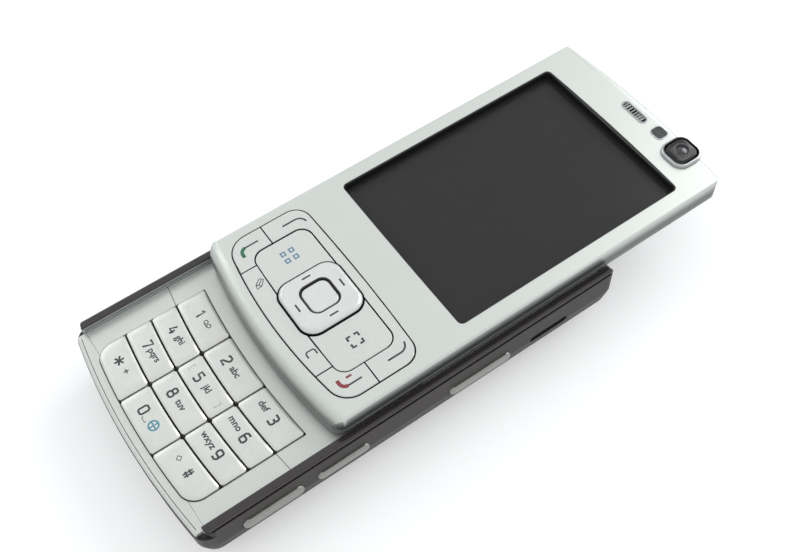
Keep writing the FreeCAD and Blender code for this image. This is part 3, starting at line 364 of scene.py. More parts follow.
# Lines of the squared digits on a field one wide and one high. Equal ends close a line.
DIGIT_LINES: dict[str, tuple[tuple[Point, ...], ...]] = {
    "0": (((0.2, 0), (0.8, 0), (1, 0.15), (1, 0.85), (0.8, 1), (0.2, 1), (0, 0.85), (0, 0.15), (0.2, 0)),),
    "1": (((0.2, 0.8), (0.6, 1), (0.6, 0)),),
    "2": (((0, 0.85), (0.2, 1), (0.8, 1), (1, 0.85), (1, 0.65), (0.8, 0.5), (0.1, 0.2), (0, 0), (1, 0)),),
    "3": (((0, 1), (0.8, 1), (1, 0.85), (1, 0.67), (0.8, 0.53), (0.35, 0.53)),
          ((0.8, 0.53), (1, 0.4), (1, 0.15), (0.8, 0), (0, 0))),
    "4": (((0.45, 1), (0, 0.28), (1, 0.28)), ((0.72, 0.6), (0.72, 0))),
    "5": (((0.95, 1), (0.05, 1), (0.05, 0.58), (0.8, 0.58), (1, 0.43), (1, 0.15), (0.8, 0), (0, 0)),),
    "6": (((0.9, 1), (0.25, 1), (0, 0.8), (0, 0.15), (0.2, 0), (0.8, 0), (1, 0.15), (1, 0.42), (0.8, 0.57),
           (0, 0.57)),),
    "7": (((0, 1), (1, 1), (0.4, 0)),),
    "8": (((0.2, 0), (0.8, 0), (1, 0.15), (1, 0.4), (0.8, 0.53), (0.2, 0.53), (0, 0.4), (0, 0.15), (0.2, 0)),
          ((0.2, 0.53), (0.08, 0.67), (0.08, 0.87), (0.25, 1), (0.75, 1), (0.92, 0.87), (0.92, 0.67),
           (0.8, 0.53))),
    "9": (((0.1, 0), (0.75, 0), (1, 0.2), (1, 0.85), (0.8, 1), (0.2, 1), (0, 0.85), (0, 0.58), (0.2, 0.43),
           (1, 0.43)),),
    "#": (((0.3, 0), (0.3, 1)), ((0.72, 0), (0.72, 1)), ((0, 0.3), (1, 0.3)), ((0, 0.7), (1, 0.7))),
}

FINISH_OF_SLOT: dict[str, Finish] = {
    "cover_silver": FACE_PAINT_AND_SHADE,
    "slider_back_silver": SHELL_PAINT,
    "plate_silver": PLATE_PAINT,
    "cap_silver": PLATE_PAINT,
    "number_key_silver": KEY_PAINT,
    "cluster_key_silver": CLUSTER_PAINT_AND_SHADE,
    "media_key_silver": KEY_PAINT,
    "nav_silver": NAV_PAINT_AND_SHADE,
    "side_key_silver": SIDE_METAL,
    "rim_plum": RIM_GLOSS,
    "housing_grey": HOUSING_ABS,
    "battery_cover_grey": COVER_ABS,
    "door_grey": COVER_ABS,
    "rail_steel": RAIL_STEEL,
    "carriage_steel": RAIL_STEEL,
    "screw_steel": NICKEL,
    "socket_metal": NICKEL,
    "socket_black": BLACK_NYLON,
    "mat_rubber": RUBBER,
    "web_rubber": RUBBER,
    "board_green": BOARD,
    "battery_wrap": WRAP,
    "window_glass": WINDOW_GLASS,
    "display_dark": PANEL_BLACK,
    "lens_dark": LENS_BLACK,
    "lens_glass": WINDOW_GLASS,
    "flash_clear": FLASH,
    "sensor_grey": SMOKED,
    "ring_chrome": CHROME,
    "grille_silver": NICKEL,
    "grille_dark": DARK_MESH,
    "lens_cover_grey": COVER_ABS,
}


def body_of_node(node: str) -> str:
    """Name the body that a node belongs to."""
    return frame["nodes"][node]["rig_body"]


def slot_of_node(node: str) -> str:
    """Name the record's material slot of a node."""
    for row in frame["record"]["subparts"]:
        if row["node"] == node:
            return row["material_slot"]
    raise ValueError(f"no node is named {node}")


def place_piece(
    name: str, mesh: bpy.types.Mesh, finish: Finish, body: str
) -> bpy.types.Object:
    """Put a finished mesh in the scene on its body.

    Args:
        name: The piece's name.
        mesh: The mesh, already in place.
        finish: Its finish.
        body: The body that it rides on.

    Returns:
        The piece.
    """
    piece = bpy.data.objects.new(name, mesh)
    mesh.materials.clear()
    mesh.materials.append(finish.material())
    bpy.context.scene.collection.objects.link(piece)
    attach(piece, body)
    LOG.info("piece %s on %s", name, body)
    return piece


def plain_copy(source: bpy.types.Object) -> bpy.types.Mesh:
    """Turn an object with its modifiers into a plain mesh and remove the object.

    Args:
        source: The object, at the origin.

    Returns:
        The plain mesh.
    """
    bpy.context.view_layer.update()
    graph = bpy.context.evaluated_depsgraph_get()
    mesh = bpy.data.meshes.new_from_object(source.evaluated_get(graph))
    bpy.data.objects.remove(source)
    return mesh


def dress_node(node: str) -> None:
    """Give a node that keeps its own mesh the material of its slot."""
    target = frame["nodes"][node]
    target.data.materials.clear()
    target.data.materials.append(FINISH_OF_SLOT[slot_of_node(node)].material())
    LOG.info("node %s dressed", node)


@dataclass(frozen=True)
class SoftenedPiece:
    """A moulded or pressed piece whose edges are softened, in place of a node's sharp mesh.

    Attributes:
        node: The node that it stands for.
        edge_mm: Radius of its softened edges, or 0 where only the shading is softened.
        smooth_deg: Edges that turn less than this are shaded as one surface.
        foot_lift_mm: How far its foot is raised off the face that it lies on.
        crown_mm: How far the rim of its flat top is lowered, so that the top swells.
    """

    node: str
    edge_mm: float = 0.0
    smooth_deg: float = 50.0
    foot_lift_mm: float = 0.0
    crown_mm: float = 0.0
    # Each step of the crown: its width in millimetres and its share of the rise.
    crown_steps = ((0.4, 0.6), (0.8, 0.4))

    def swell(self, shape: bmesh.types.BMesh) -> None:
        """Lower the flat top and raise it again in steps from its rim inwards.

        Args:
            shape: The key's mesh.
        """
        peak = max(vert.co.z for vert in shape.verts)
        shape.normal_update()
        tops = [
            face
            for face in shape.faces
            if face.normal.z > 0.99 and face.calc_center_median().z > peak - 0.01 * MM
        ]
        for vert in {vert for face in tops for vert in face.verts}:
            vert.co.z -= self.crown_mm * MM
        for width, share in self.crown_steps:
            bmesh.ops.inset_region(shape, faces=tops, thickness=0.0, use_boundary=True)
            inner = list({vert for face in tops for vert in face.verts})
            for axis in (0, 1):
                places = [vert.co[axis] for vert in inner]
                middle = (min(places) + max(places)) / 2
                shrink = 1 - width * MM / (max(places) - middle)
                for vert in inner:
                    vert.co[axis] = middle + (vert.co[axis] - middle) * shrink
            for vert in inner:
                vert.co.z += self.crown_mm * share * MM

    def build(self) -> None:
        """Make the piece and let it replace the node."""
        shape = bmesh.new()
        shape.from_mesh(frame["nodes"][self.node].data)
        bmesh.ops.remove_doubles(shape, verts=shape.verts, dist=MERGE_MM * MM)
        bmesh.ops.dissolve_limit(
            shape, angle_limit=math.radians(FLAT_DEG), verts=shape.verts, edges=shape.edges
        )
        foot = min(vert.co.z for vert in shape.verts)
        for vert in shape.verts:
            if self.foot_lift_mm and vert.co.z < foot + self.foot_lift_mm * MM:
                vert.co.z += self.foot_lift_mm * MM
        if self.crown_mm:
            self.swell(shape)
        mesh = bpy.data.meshes.new(f"{self.node}_softened")
        shape.to_mesh(mesh)
        shape.free()
        mesh.shade_smooth()
        mesh.set_sharp_from_angle(angle=math.radians(self.smooth_deg))
        draft = bpy.data.objects.new("draft", mesh)
        bpy.context.scene.collection.objects.link(draft)
        if self.edge_mm:
            bevel = draft.modifiers.new("edge", "BEVEL")
            bevel.width = self.edge_mm * MM
            bevel.segments = 2
            bevel.limit_method = "ANGLE"
            bevel.angle_limit = math.radians(self.smooth_deg)
        if not self.crown_mm:
            weighted = draft.modifiers.new("weighted", "WEIGHTED_NORMAL")
            weighted.keep_sharp = True
            weighted.weight = 100
        slot = slot_of_node(self.node)
        finish = FINISH_OF_SLOT[slot]
        body = body_of_node(self.node)
        piece = place_piece(f"{self.node}_softened", plain_copy(draft), finish, body)
        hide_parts(self.node)


@dataclass
class Ink:
    """Draws printed marks as thin raised films on a flat face.

    Attributes:
        height: Height of the face in metres.
        body: The body that the marks ride on.
        parts: The marks drawn since the last piece.
    """

    FILM = 0.02 * MM
    height: float
    body: str
    parts: list[bpy.types.Mesh] = field(default_factory=list)

    def _add(self, draft: bpy.types.Object, place: Matrix, squeeze: float) -> None:
        """Flatten a drawn object into a film and keep it.

        Args:
            draft: The drawn object.
            place: Where it goes.
            squeeze: How much it is flattened.
        """
        bpy.context.scene.collection.objects.link(draft)
        mesh = plain_copy(draft)
        flatten = Matrix.Diagonal((1.0, 1.0, squeeze, 1.0))
        mesh.transform(place @ flatten)
        self.parts.append(mesh)

    def text(self, words: str, x: float, y: float, size: float, weight: float = 0.0) -> None:
        """Print a legend, centred at a place in millimetres.

        Args:
            words: The legend.
            x: Middle along X.
            y: Middle along Y.
            size: Size of the letters.
            weight: How much bolder than the plain font.
        """
        curve = bpy.data.curves.new("legend", "FONT")
        curve.body = words
        curve.size = size * MM
        curve.align_x = "CENTER"
        curve.align_y = "CENTER"
        curve.extrude = self.FILM / 2
        curve.offset = weight * MM
        curve.resolution_u = 4
        draft = bpy.data.objects.new("draft", curve)
        self._add(draft, Matrix.Translation((x * MM, y * MM, self.height + self.FILM / 2)), 1.0)

    def stroke(self, points: list[Point], width: float, closed: bool = False) -> None:
        """Draw a line with round ends through points in millimetres.

        Args:
            points: The points of the line.
            width: The line's width.
            closed: True for a closed outline.
        """
        curve = bpy.data.curves.new("stroke", "CURVE")
        curve.dimensions = "3D"
        curve.bevel_depth = width / 2 * MM
        curve.bevel_resolution = 2
        curve.use_fill_caps = True
        spline = curve.splines.new("POLY")
        spline.points.add(len(points) - 1)
        for target, (x, y) in zip(spline.points, points):
            target.co = (x * MM, y * MM, 0.0, 1.0)
        spline.use_cyclic_u = closed
        draft = bpy.data.objects.new("draft", curve)
        self._add(draft, Matrix.Translation((0, 0, self.height)), self.FILM / (width * MM) * 2)

    def digit(self, sign: str, x: float, y: float, height: float, width: float) -> None:
        """Draw a squared digit, centred at a place in millimetres.

        Args:
            sign: The digit.
            x: Middle along X.
            y: Middle along Y.
            height: Height of the digit.
            width: Width of its lines.
        """
        across = height * 0.6
        for points in DIGIT_LINES[sign]:
            closed = points[0] == points[-1]
            kept = points[:-1] if closed else points
            placed = [(x + (px - 0.5) * across, y + (py - 0.5) * height) for px, py in kept]
            self.stroke(placed, width, closed)

    def piece(self, name: str, finish: Finish) -> None:
        """Join all marks drawn so far into one piece.

        Args:
            name: The piece's name.
            finish: The ink.
        """
        shape = bmesh.new()
        for mesh in self.parts:
            shape.from_mesh(mesh)
            bpy.data.meshes.remove(mesh)
        self.parts = []
        bmesh.ops.remove_doubles(shape, verts=shape.verts, dist=FINE_MERGE_MM * MM)
        bmesh.ops.recalc_face_normals(shape, faces=shape.faces)
        joined = bpy.data.meshes.new(name)
        shape.to_mesh(joined)
        shape.free()
        place_piece(name, joined, finish, self.body)


def arc(centre: Point, radius: float, start: float, end: float, steps: int = 10) -> list[Point]:
    """Points along an arc.

    Args:
        centre: Its centre.
        radius: Its radius.
        start: Start angle in degrees.
        end: End angle in degrees.
        steps: Number of pieces.

    Returns:
        The points, both ends among them.
    """
    points = []
    for step in range(steps + 1):
        turn = math.radians(start + (end - start) * step / steps)
        points.append((centre[0] + radius * math.cos(turn), centre[1] + radius * math.sin(turn)))
    return points


def rounded_outline(
    size: Point, corner: float, centre: Point = (0.0, 0.0), grow: float = 0.0, steps: int = 8
) -> list[Point]:
    """Points of a rounded rectangle.

    Args:
        size: Its size across and up.
        corner: Its corner radius.
        centre: Its middle.
        grow: How far it is pushed outwards all round.
        steps: Pieces in each corner.

    Returns:
        The points, anticlockwise.
    """
    points = []
    for turn, (way_x, way_y) in enumerate(((1, 1), (-1, 1), (-1, -1), (1, -1))):
        place = (
            centre[0] + way_x * (size[0] / 2 - corner),
            centre[1] + way_y * (size[1] / 2 - corner),
        )
        points += arc(place, corner + grow, 90 * turn, 90 * turn + 90, steps)
    return points


def wall_ring(
    name: str,
    outlines: tuple[list[Point], list[Point]],
    heights: Point,
    finish: Finish,
    body: str,
    sideways: bool = False,
) -> None:
    """Make an upright wall between two outlines with as many points each.

    Args:
        name: The piece's name.
        outlines: Outer and inner outline in millimetres.
        heights: Heights of its foot and its top in millimetres.
        finish: Its finish.
        body: The body that it rides on.
        sideways: True where the outlines are in Y and Z and the wall runs along X.
    """
    outer, inner = outlines
    low, high = heights
    shape = bmesh.new()
    loops = [
        [shape.verts.new((x * MM, y * MM, z * MM)) for x, y in points]
        for points, z in ((outer, low), (outer, high), (inner, high), (inner, low))
    ]
    count = len(outer)
    for here, there in zip(loops, loops[1:] + loops[:1]):
        for place in range(count):
            after = (place + 1) % count
            shape.faces.new((here[place], here[after], there[after], there[place]))
    bmesh.ops.recalc_face_normals(shape, faces=shape.faces)
    if sideways:
        for vert in shape.verts:
            vert.co = (vert.co.z, vert.co.x, vert.co.y)
    mesh = bpy.data.meshes.new(name)
    shape.to_mesh(mesh)
    shape.free()
    mesh.shade_smooth()
    mesh.set_sharp_from_angle(angle=math.radians(40))
    place_piece(name, mesh, finish, body)


@dataclass
class NumberKeypad:
    """The twelve number keys with their legends.

    Attributes:
        digit_mm: Height of the digits.
        digit_line: Width of the digits' lines.
        hash_line: Width of the lines of the hash, which stand closer.
        fine_line: Width of the lines of the small marks.
        crown_mm: How far the rim of a key's top lies below its middle.
        letter_mm: Size of the letters.
        letter_weight: How much bolder the letters are than the plain font.
        star_reach: Length of the star's arms.
        star_line: Width of the star's arms.
        side_shift: How far up the print stands on the outer columns.
        digit_x: Middle of the digit in each column.
        letter_x: Middle of the letters in each column.
        legends: Key name, column, digit and letters.
    """

    digit_mm: float = 2.05
    digit_line: float = 0.45
    hash_line: float = 0.32
    fine_line: float = 0.2
    crown_mm: float = 0.13
    letter_mm: float = 1.95
    letter_weight: float = 0.045
    star_reach: float = 1.05
    star_line: float = 0.4
    side_shift: float = 0.25
    digit_x: tuple[float, ...] = (-14.6, -2.3, 13.9)
    letter_x: tuple[float, ...] = (-11.7, 0.9, 10.3)
    legends: tuple[tuple[str, int, str, str], ...] = (
        ("key_1", 0, "1", ""),
        ("key_2", 1, "2", "abc"),
        ("key_3", 2, "3", "def"),
        ("key_4", 0, "4", "ghi"),
        ("key_5", 1, "5", "jkl"),
        ("key_6", 2, "6", "mno"),
        ("key_7", 0, "7", "pqrs"),
        ("key_8", 1, "8", "tuv"),
        ("key_9", 2, "9", "wxyz"),
        ("key_star", 0, "", "+"),
        ("key_0", 1, "0", ""),
        ("key_hash", 2, "#", ""),
    )

    def build(self) -> None:
        """Make the keys and their legends."""
        for node, column, digit, letters in self.legends:
            SoftenedPiece(node, crown_mm=self.crown_mm).build()
            low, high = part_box(node)
            middle = (low.y + high.y) / 2 / MM
            if column != 1:
                middle += self.side_shift
            ink = Ink(high.z, body_of_node(node))
            if digit:
                width = self.hash_line if digit == "#" else self.digit_line
                ink.digit(digit, self.digit_x[column], middle, self.digit_mm, width)
            if letters:
                x = self.letter_x[column]
                ink.text(letters, x, middle, self.letter_mm, self.letter_weight)
            self.special_marks(node, ink, middle)
            ink.piece(f"{node}_legend", GREY_INK)
            if node == "key_5":
                self.finger_marks(ink, middle)
            if node == "key_0":
                self.network_mark(ink, middle)

    @staticmethod
    def finger_marks(ink: Ink, middle: float) -> None:
        """Draw the pale brackets at both ends of the five key.

        Args:
            ink: The print on it.
            middle: Its middle along Y.
        """
        reach, half, hook, width = 5.2, 0.7, 0.45, 0.16
        for way in (-1, 1):
            x = way * reach
            tip = x - way * hook
            high, low = middle + half, middle - half
            ink.stroke([(tip, high), (x, high), (x, low), (tip, low)], width)
        ink.piece("key_5_marks", PALE_INK)

    def special_marks(self, node: str, ink: Ink, middle: float) -> None:
        """Draw the marks of the keys that carry more than a digit.

        Args:
            node: The key.
            ink: The print on it.
            middle: Its middle along Y.
        """
        if node == "key_1":
            x, reach, reel, drop = self.letter_x[0], 0.55, 0.42, 0.45
            for way in (-1, 1):
                ink.stroke(arc((x + way * reach, middle), reel, 0, 324, 9), self.fine_line, True)
            ink.stroke([(x - reach, middle - drop), (x + reach, middle - drop)], self.fine_line)
        if node == "key_star":
            for turn in (90, 210, 330):
                arm = arc((self.digit_x[0], middle), self.star_reach, turn, turn + 180, 1)
                ink.stroke(arm, self.star_line)
        if node == "key_0":
            left, right, low, lip = -1.1, 0.1, middle - 1.1, 0.35
            space = [(left, low + lip), (left, low), (right, low), (right, low + lip)]
            ink.stroke(space, self.fine_line)
        if node == "key_hash":
            size, width = 0.55, 0.22
            ink.stroke(arc((self.letter_x[2], middle), size, 90, -180, 3), width, True)

    @staticmethod
    def network_mark(ink: Ink, middle: float) -> None:
        """Draw a plain globe in teal on the zero key.

        Args:
            ink: The print on it.
            middle: Its middle along Y.
        """
        x, radius, reach, rim_line, cross_line = 1.7, 1.0, 0.9, 0.32, 0.26
        ink.stroke(arc((x, middle), radius, 0, 340, 17), rim_line, True)
        ink.stroke([(x - reach, middle), (x + reach, middle)], cross_line)
        ink.stroke([(x, middle - reach), (x, middle + reach)], cross_line)
        ink.piece("key_0_globe", TEAL_INK)


@dataclass
class KeyCluster:
    """The keys below the display, with their printed symbols.

    Attributes:
        nodes: All keys of the cluster.
        ring_middle: Middle of the navigation ring in millimetres.
        dash_reach: How far the ring's dashes lie from its middle.
        select_corner: Corner radius of the select key.
        select_gap: Gap between the select key and the ring.
    """

    nodes: tuple[str, ...] = (
        "soft_key_strip", "call_key", "end_key", "edit_clear_key",
        "menu_key", "multimedia_key", "nav_ring", "select_key",
    )
    ring_middle: float = -4.85
    dash_reach: float = 5.05
    select_corner: float = 1.7
    select_gap: float = 0.35

    def build(self) -> None:
        """Make the keys and their symbols."""
        for node in self.nodes:
            SoftenedPiece(node).build()
        self.soft_marks()
        self.call_marks()
        self.edit_marks()
        self.panel_marks()
        self.ring_dashes()
        self.select_gap_shade()

    def ink_on(self, node: str) -> Ink:
        """Start a print on the top of a key."""
        return Ink(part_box(node)[1].z, body_of_node(node))

    def soft_marks(self) -> None:
        """Draw the hooked lines of both soft keys."""
        ink = self.ink_on("soft_key_strip")
        side, foot, bend_y, reach, width = 19.0, -2.0, 0.9, 1.8, 0.4
        bend = arc((0.0, bend_y), reach, 180, 95, 7)
        for way in (-1, 1):
            x = way * side
            hook = [(x - way * (px + reach), py) for px, py in bend]
            ink.stroke([(x, foot)] + hook, width)
        ink.piece("soft_key_marks", GREY_INK)

    def call_marks(self) -> None:
        """Draw the green and red hooks of the call and end keys, with their lines."""
        side, line_top, line_foot, line_width = 18.95, -7.8, -10.9, 0.38
        reach, bend_y, lip, hook_width = 1.25, -10.75, 0.75, 0.75
        bend = arc((0.0, bend_y), reach, 180, 270, 7) + [(lip, bend_y - reach)]
        for node, way, finish in (("call_key", -1, GREEN_INK), ("end_key", 1, RED_INK)):
            x = way * side
            line = self.ink_on(node)
            line.stroke([(x, line_top), (x, line_foot)], line_width)
            line.piece(f"{node}_line", GREY_INK)
            hook = self.ink_on(node)
            hook.stroke([(x - way * (px + reach), py) for px, py in bend], hook_width)
            if way > 0:
                bar_x, bar_top, bar_foot, bar_width = 17.4, -9.1, -10.3, 0.45
                hook.stroke([(bar_x, bar_top), (bar_x, bar_foot)], bar_width)
            hook.piece(f"{node}_hook", finish)

    def edit_marks(self) -> None:
        """Draw the pencil and the letter of the edit and clear strip."""
        ink = self.ink_on("edit_clear_key")
        x, y, edge_width, inner_width, letter_width = -9.8, -12.75, 0.22, 0.18, 0.34
        tip = (x + 0.85, y - 1.0)
        low_side, high_side = (x - 0.15, y - 0.75), (x + 0.7, y + 0.05)
        low_end, high_end = (x - 1.1, y + 0.5), (x - 0.45, y + 1.15)
        ink.stroke([tip, low_side, low_end, high_end, high_side], edge_width, True)
        ink.stroke([low_side, high_side], inner_width)
        ink.stroke([(x + 0.25, y - 0.35), (x - 0.75, y + 0.85)], inner_width)
        x, wide, tall = 9.3, 0.65, 0.95
        ink.stroke(
            [
                (x + wide, y + tall),
                (x - wide / 2, y + tall),
                (x - wide, y + tall * 0.7),
                (x - wide, y - tall * 0.7),
                (x - wide / 2, y - tall),
                (x + wide, y - tall),
            ],
            letter_width,
        )
        ink.piece("edit_clear_marks", GREY_INK)

    def panel_marks(self) -> None:
        """Draw a plain menu symbol and the four corners of the multimedia symbol."""
        menu = self.ink_on("menu_key")
        x, y, spread, lobe, width = -12.1, -4.5, 0.95, 0.6, 0.45
        for column in (-1, 1):
            for row in (-1, 1):
                centre = (x + column * spread, y + row * spread)
                menu.stroke(arc(centre, lobe, 45, 315, 3), width, True)
        menu.piece("menu_mark", BLUE_INK)
        media = self.ink_on("multimedia_key")
        x, y, reach, arm, width = 11.7, -4.5, 1.2, 0.8, 0.5
        for column in (-1, 1):
            for row in (-1, 1):
                corner = (x + column * reach, y + row * reach)
                across = (corner[0] - column * arm, corner[1])
                along = (corner[0], corner[1] - row * arm)
                media.stroke([across, corner, along], width)
        media.piece("multimedia_mark", GREY_INK)

    def ring_dashes(self) -> None:
        """Draw the four dashes of the navigation ring."""
        ink = self.ink_on("nav_ring")
        half, width = 0.95, 0.38
        for way in (-1, 1):
            y = self.ring_middle + way * self.dash_reach
            ink.stroke([(-half, y), (half, y)], width)
            x = way * self.dash_reach
            ink.stroke([(x, self.ring_middle - half), (x, self.ring_middle + half)], width)
        ink.piece("nav_ring_dashes", GREY_INK)

    def select_gap_shade(self) -> None:
        """Fill the gap between the ring's opening and the select key with a black rubber band, as painted
        shade in that gap.
        """
        low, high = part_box("select_key")
        centre = (0.0, (low.y + high.y) / 2 / MM)
        size = ((high.x - low.x) / MM, (high.y - low.y) / MM)
        top, play = high.z / MM, 0.06
        outlines = tuple(
            rounded_outline(size, self.select_corner, centre, grow)
            for grow in (self.select_gap + 0.02, play)
        )
        wall_ring("select_key_gap_shade", outlines, (top - 0.3, top + 0.08), RUBBER, "nav_ring")


@dataclass(frozen=True)
class BarRow:
    """A row of equal small bars, made by Geometry Nodes.

    Attributes:
        name: The piece's name.
        start: Middle of the first bar in millimetres.
        step: From one bar to the next, in millimetres.
        count: How many bars.
        size: Size of a bar in millimetres.
        finish: The bars' finish.
        body: The body that they ride on.
    """

    name: str
    start: tuple[float, float, float]
    step: tuple[float, float, float]
    count: int
    size: tuple[float, float, float]
    finish: Finish
    body: str

    def tree(self) -> bpy.types.NodeTree:
        """Build the node tree with its named inputs.

        Returns:
            The tree.
        """
        group = bpy.data.node_groups.new(f"{self.name}_row", "GeometryNodeTree")
        for name, kind in (
            ("Count", "NodeSocketInt"),
            ("Start", "NodeSocketVector"),
            ("Step", "NodeSocketVector"),
            ("Bar size", "NodeSocketVector"),
        ):
            group.interface.new_socket(name, in_out="INPUT", socket_type=kind)
        group.interface.new_socket("Geometry", in_out="OUTPUT", socket_type="NodeSocketGeometry")
        given = add_node(group, "NodeGroupInput").outputs
        line = add_node(
            group,
            "GeometryNodeMeshLine",
            links={
                "Count": given["Count"],
                "Start Location": given["Start"],
                "Offset": given["Step"],
            },
            mode="OFFSET",
        )
        bar = add_node(group, "GeometryNodeMeshCube", links={"Size": given["Bar size"]})
        copies = add_node(
            group,
            "GeometryNodeInstanceOnPoints",
            links={"Points": line.outputs["Mesh"], "Instance": bar.outputs["Mesh"]},
        )
        real = add_node(
            group, "GeometryNodeRealizeInstances", links={"Geometry": copies.outputs["Instances"]}
        )
        coloured = add_node(
            group,
            "GeometryNodeSetMaterial",
            {"Material": self.finish.material()},
            {"Geometry": real.outputs["Geometry"]},
        )
        add_node(group, "NodeGroupOutput", links={"Geometry": coloured.outputs["Geometry"]})
        return group

    def build(self) -> None:
        """Make the row as one plain mesh with softened edges."""
        group = self.tree()
        draft = bpy.data.objects.new("draft", bpy.data.meshes.new("draft"))
        bpy.context.scene.collection.objects.link(draft)
        modifier = draft.modifiers.new("row", "NODES")
        modifier.node_group = group
        inputs = {
            item.name: item.identifier
            for item in group.interface.items_tree
            if item.in_out == "INPUT"
        }
        modifier[inputs["Count"]] = self.count
        for name, value in (("Start", self.start), ("Step", self.step), ("Bar size", self.size)):
            modifier[inputs[name]] = [part * MM for part in value]
        bevel = draft.modifiers.new("edge", "BEVEL")
        bevel.width = min(self.size) * MM * 0.2
        bevel.segments = 2
        place_piece(self.name, plain_copy(draft), self.finish, self.body)


@dataclass
class SliderHalf:
    """The sliding half: its shells, window, earpiece, sensor and camera.

    Attributes:
        softened: Nodes with softened edges, and the radius of each.
        plain: Nodes that keep their own mesh.
        face: Height of the silver face.
        window_size: Width and length of the window.
        window_middle: Middle of the window.
        window_corner: Corner radius of the window.
        window_bow: Radius of the window's upper edge.
        bezel: Thickness of the black lining in the window.
        lining: Heights of the lining's foot and top.
        ear_place: Middle of the earpiece.
        ear_size: Length and width of the earpiece.
        sensor_place: Middle of the light sensor.
        sensor_size: Size of the light sensor.
        eye_radius: Radius of the round glass in the front camera.
    """

    softened: dict[str, float] = field(
        default_factory=lambda: {
            "front_cover": 0.06,
            "slider_back": 0.06,
            "light_sensor_window": 0.08,
            "front_camera_ring": 0.0,
            "front_camera_lens": 0.0,
            "power_key": 0.0,
            "earpiece_grille": 0.0,
        }
    )
    plain: tuple[str, ...] = ("slide_carriage", "display_module", "slider_board", "nav_web")
    face: float = 21.0
    window_size: Point = (41.7, 55.7)
    window_middle: Point = (0.0, 41.15)
    window_corner: float = 1.2
    window_bow: float = 500.0
    bezel: float = 0.3
    lining: Point = (19.22, 20.8)
    ear_place: Point = (0.0, 75.4)
    ear_size: Point = (7.0, 1.8)
    sensor_place: Point = (7.5, 75.65)
    sensor_size: Point = (3.1, 2.8)
    eye_radius: float = 1.45

    def build(self) -> None:
        """Make the sliding half."""
        for node, edge in self.softened.items():
            SoftenedPiece(node, edge).build()
        for node in self.plain:
            dress_node(node)
        SoftenedPiece("display_window", foot_lift_mm=0.05).build()
        self.window_lining()
        self.earpiece_trim()
        self.sensor_trim()
        self.camera_eye()

    def window_lining(self) -> None:
        """Line the window's wall with the display's black frame."""
        outlines = []
        for grow in (0.02, -self.bezel):
            outline = rounded_outline(
                self.window_size, self.window_corner, self.window_middle, grow
            )
            outlines.append(
                [
                    (x, y - x**2 / (2 * self.window_bow) if y > self.window_middle[1] else y)
                    for x, y in outline
                ]
            )
        wall_ring("window_lining", tuple(outlines), self.lining, BLACK_NYLON, "slider")

    def earpiece_trim(self) -> None:
        """Set the bright rim and the slats of the earpiece."""
        corner = self.ear_size[1] / 2 - 0.001
        outlines = tuple(
            rounded_outline(self.ear_size, corner, self.ear_place, grow) for grow in (0.16, -0.08)
        )
        heights = (self.face - 0.2, self.face + 0.14)
        wall_ring("earpiece_rim", outlines, heights, CHROME, "slider")
        BarRow(
            "earpiece_slats",
            start=(-2.6, self.ear_place[1], self.face + 0.02),
            step=(0.74, 0.0, 0.0),
            count=8,
            size=(0.3, 1.35, 0.2),
            finish=NICKEL,
            body="slider",
        ).build()

    def sensor_trim(self) -> None:
        """Set the thin bright rim of the light sensor."""
        outlines = tuple(
            rounded_outline(self.sensor_size, 0.9, self.sensor_place, grow)
            for grow in (0.2, -0.04)
        )
        wall_ring("sensor_rim", outlines, (self.face - 0.15, self.face + 0.12), CHROME, "slider")

    def camera_eye(self) -> None:
        """Make the round glass eye in the front camera's dark cap, and the rims round both; the black one
        round the cap is painted shade in the gap between the cap and the ring.
        """
        low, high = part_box("front_camera_lens")
        top = Vector(((low.x + high.x) / 2, (low.y + high.y) / 2, high.z))
        flat_mm, squeeze, sink_mm = 0.3, 0.45, 0.62
        shape = bmesh.new()
        bmesh.ops.create_uvsphere(
            shape, u_segments=32, v_segments=16, radius=self.eye_radius * MM
        )
        for vert in shape.verts:
            vert.co.z = max(vert.co.z, -flat_mm * MM) * squeeze
            vert.co += top - Vector((0, 0, sink_mm * MM))
        bmesh.ops.remove_doubles(shape, verts=shape.verts, dist=FINE_MERGE_MM * MM)
        mesh = bpy.data.meshes.new("front_camera_eye")
        shape.to_mesh(mesh)
        shape.free()
        mesh.shade_smooth()
        place_piece("front_camera_eye", mesh, EYE_GLASS, "slider")
        centre = (top.x / MM, top.y / MM)
        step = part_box("front_camera_ring")[1].z / MM
        cap = top.z / MM
        for name, sides, corners_mm, steps, heights, finish in (
            # A black ring of painted shade in the gap round the cap, and a smoked rim round the eye.
            ("gap_shade", (6.5, 6.05), (2.1, 1.87), 8, (step - 0.2, step + 0.03), BLACK_NYLON),
            ("eye_rim", (3.6, 3.2), (1.79, 1.59), 10, (cap - 0.3, cap + 0.06), SMOKED),
        ):
            outlines = tuple(
                rounded_outline((side, side), corner, centre, steps=steps)
                for side, corner in zip(sides, corners_mm)
            )
            wall_ring(f"front_camera_{name}", outlines, heights, finish, "slider")


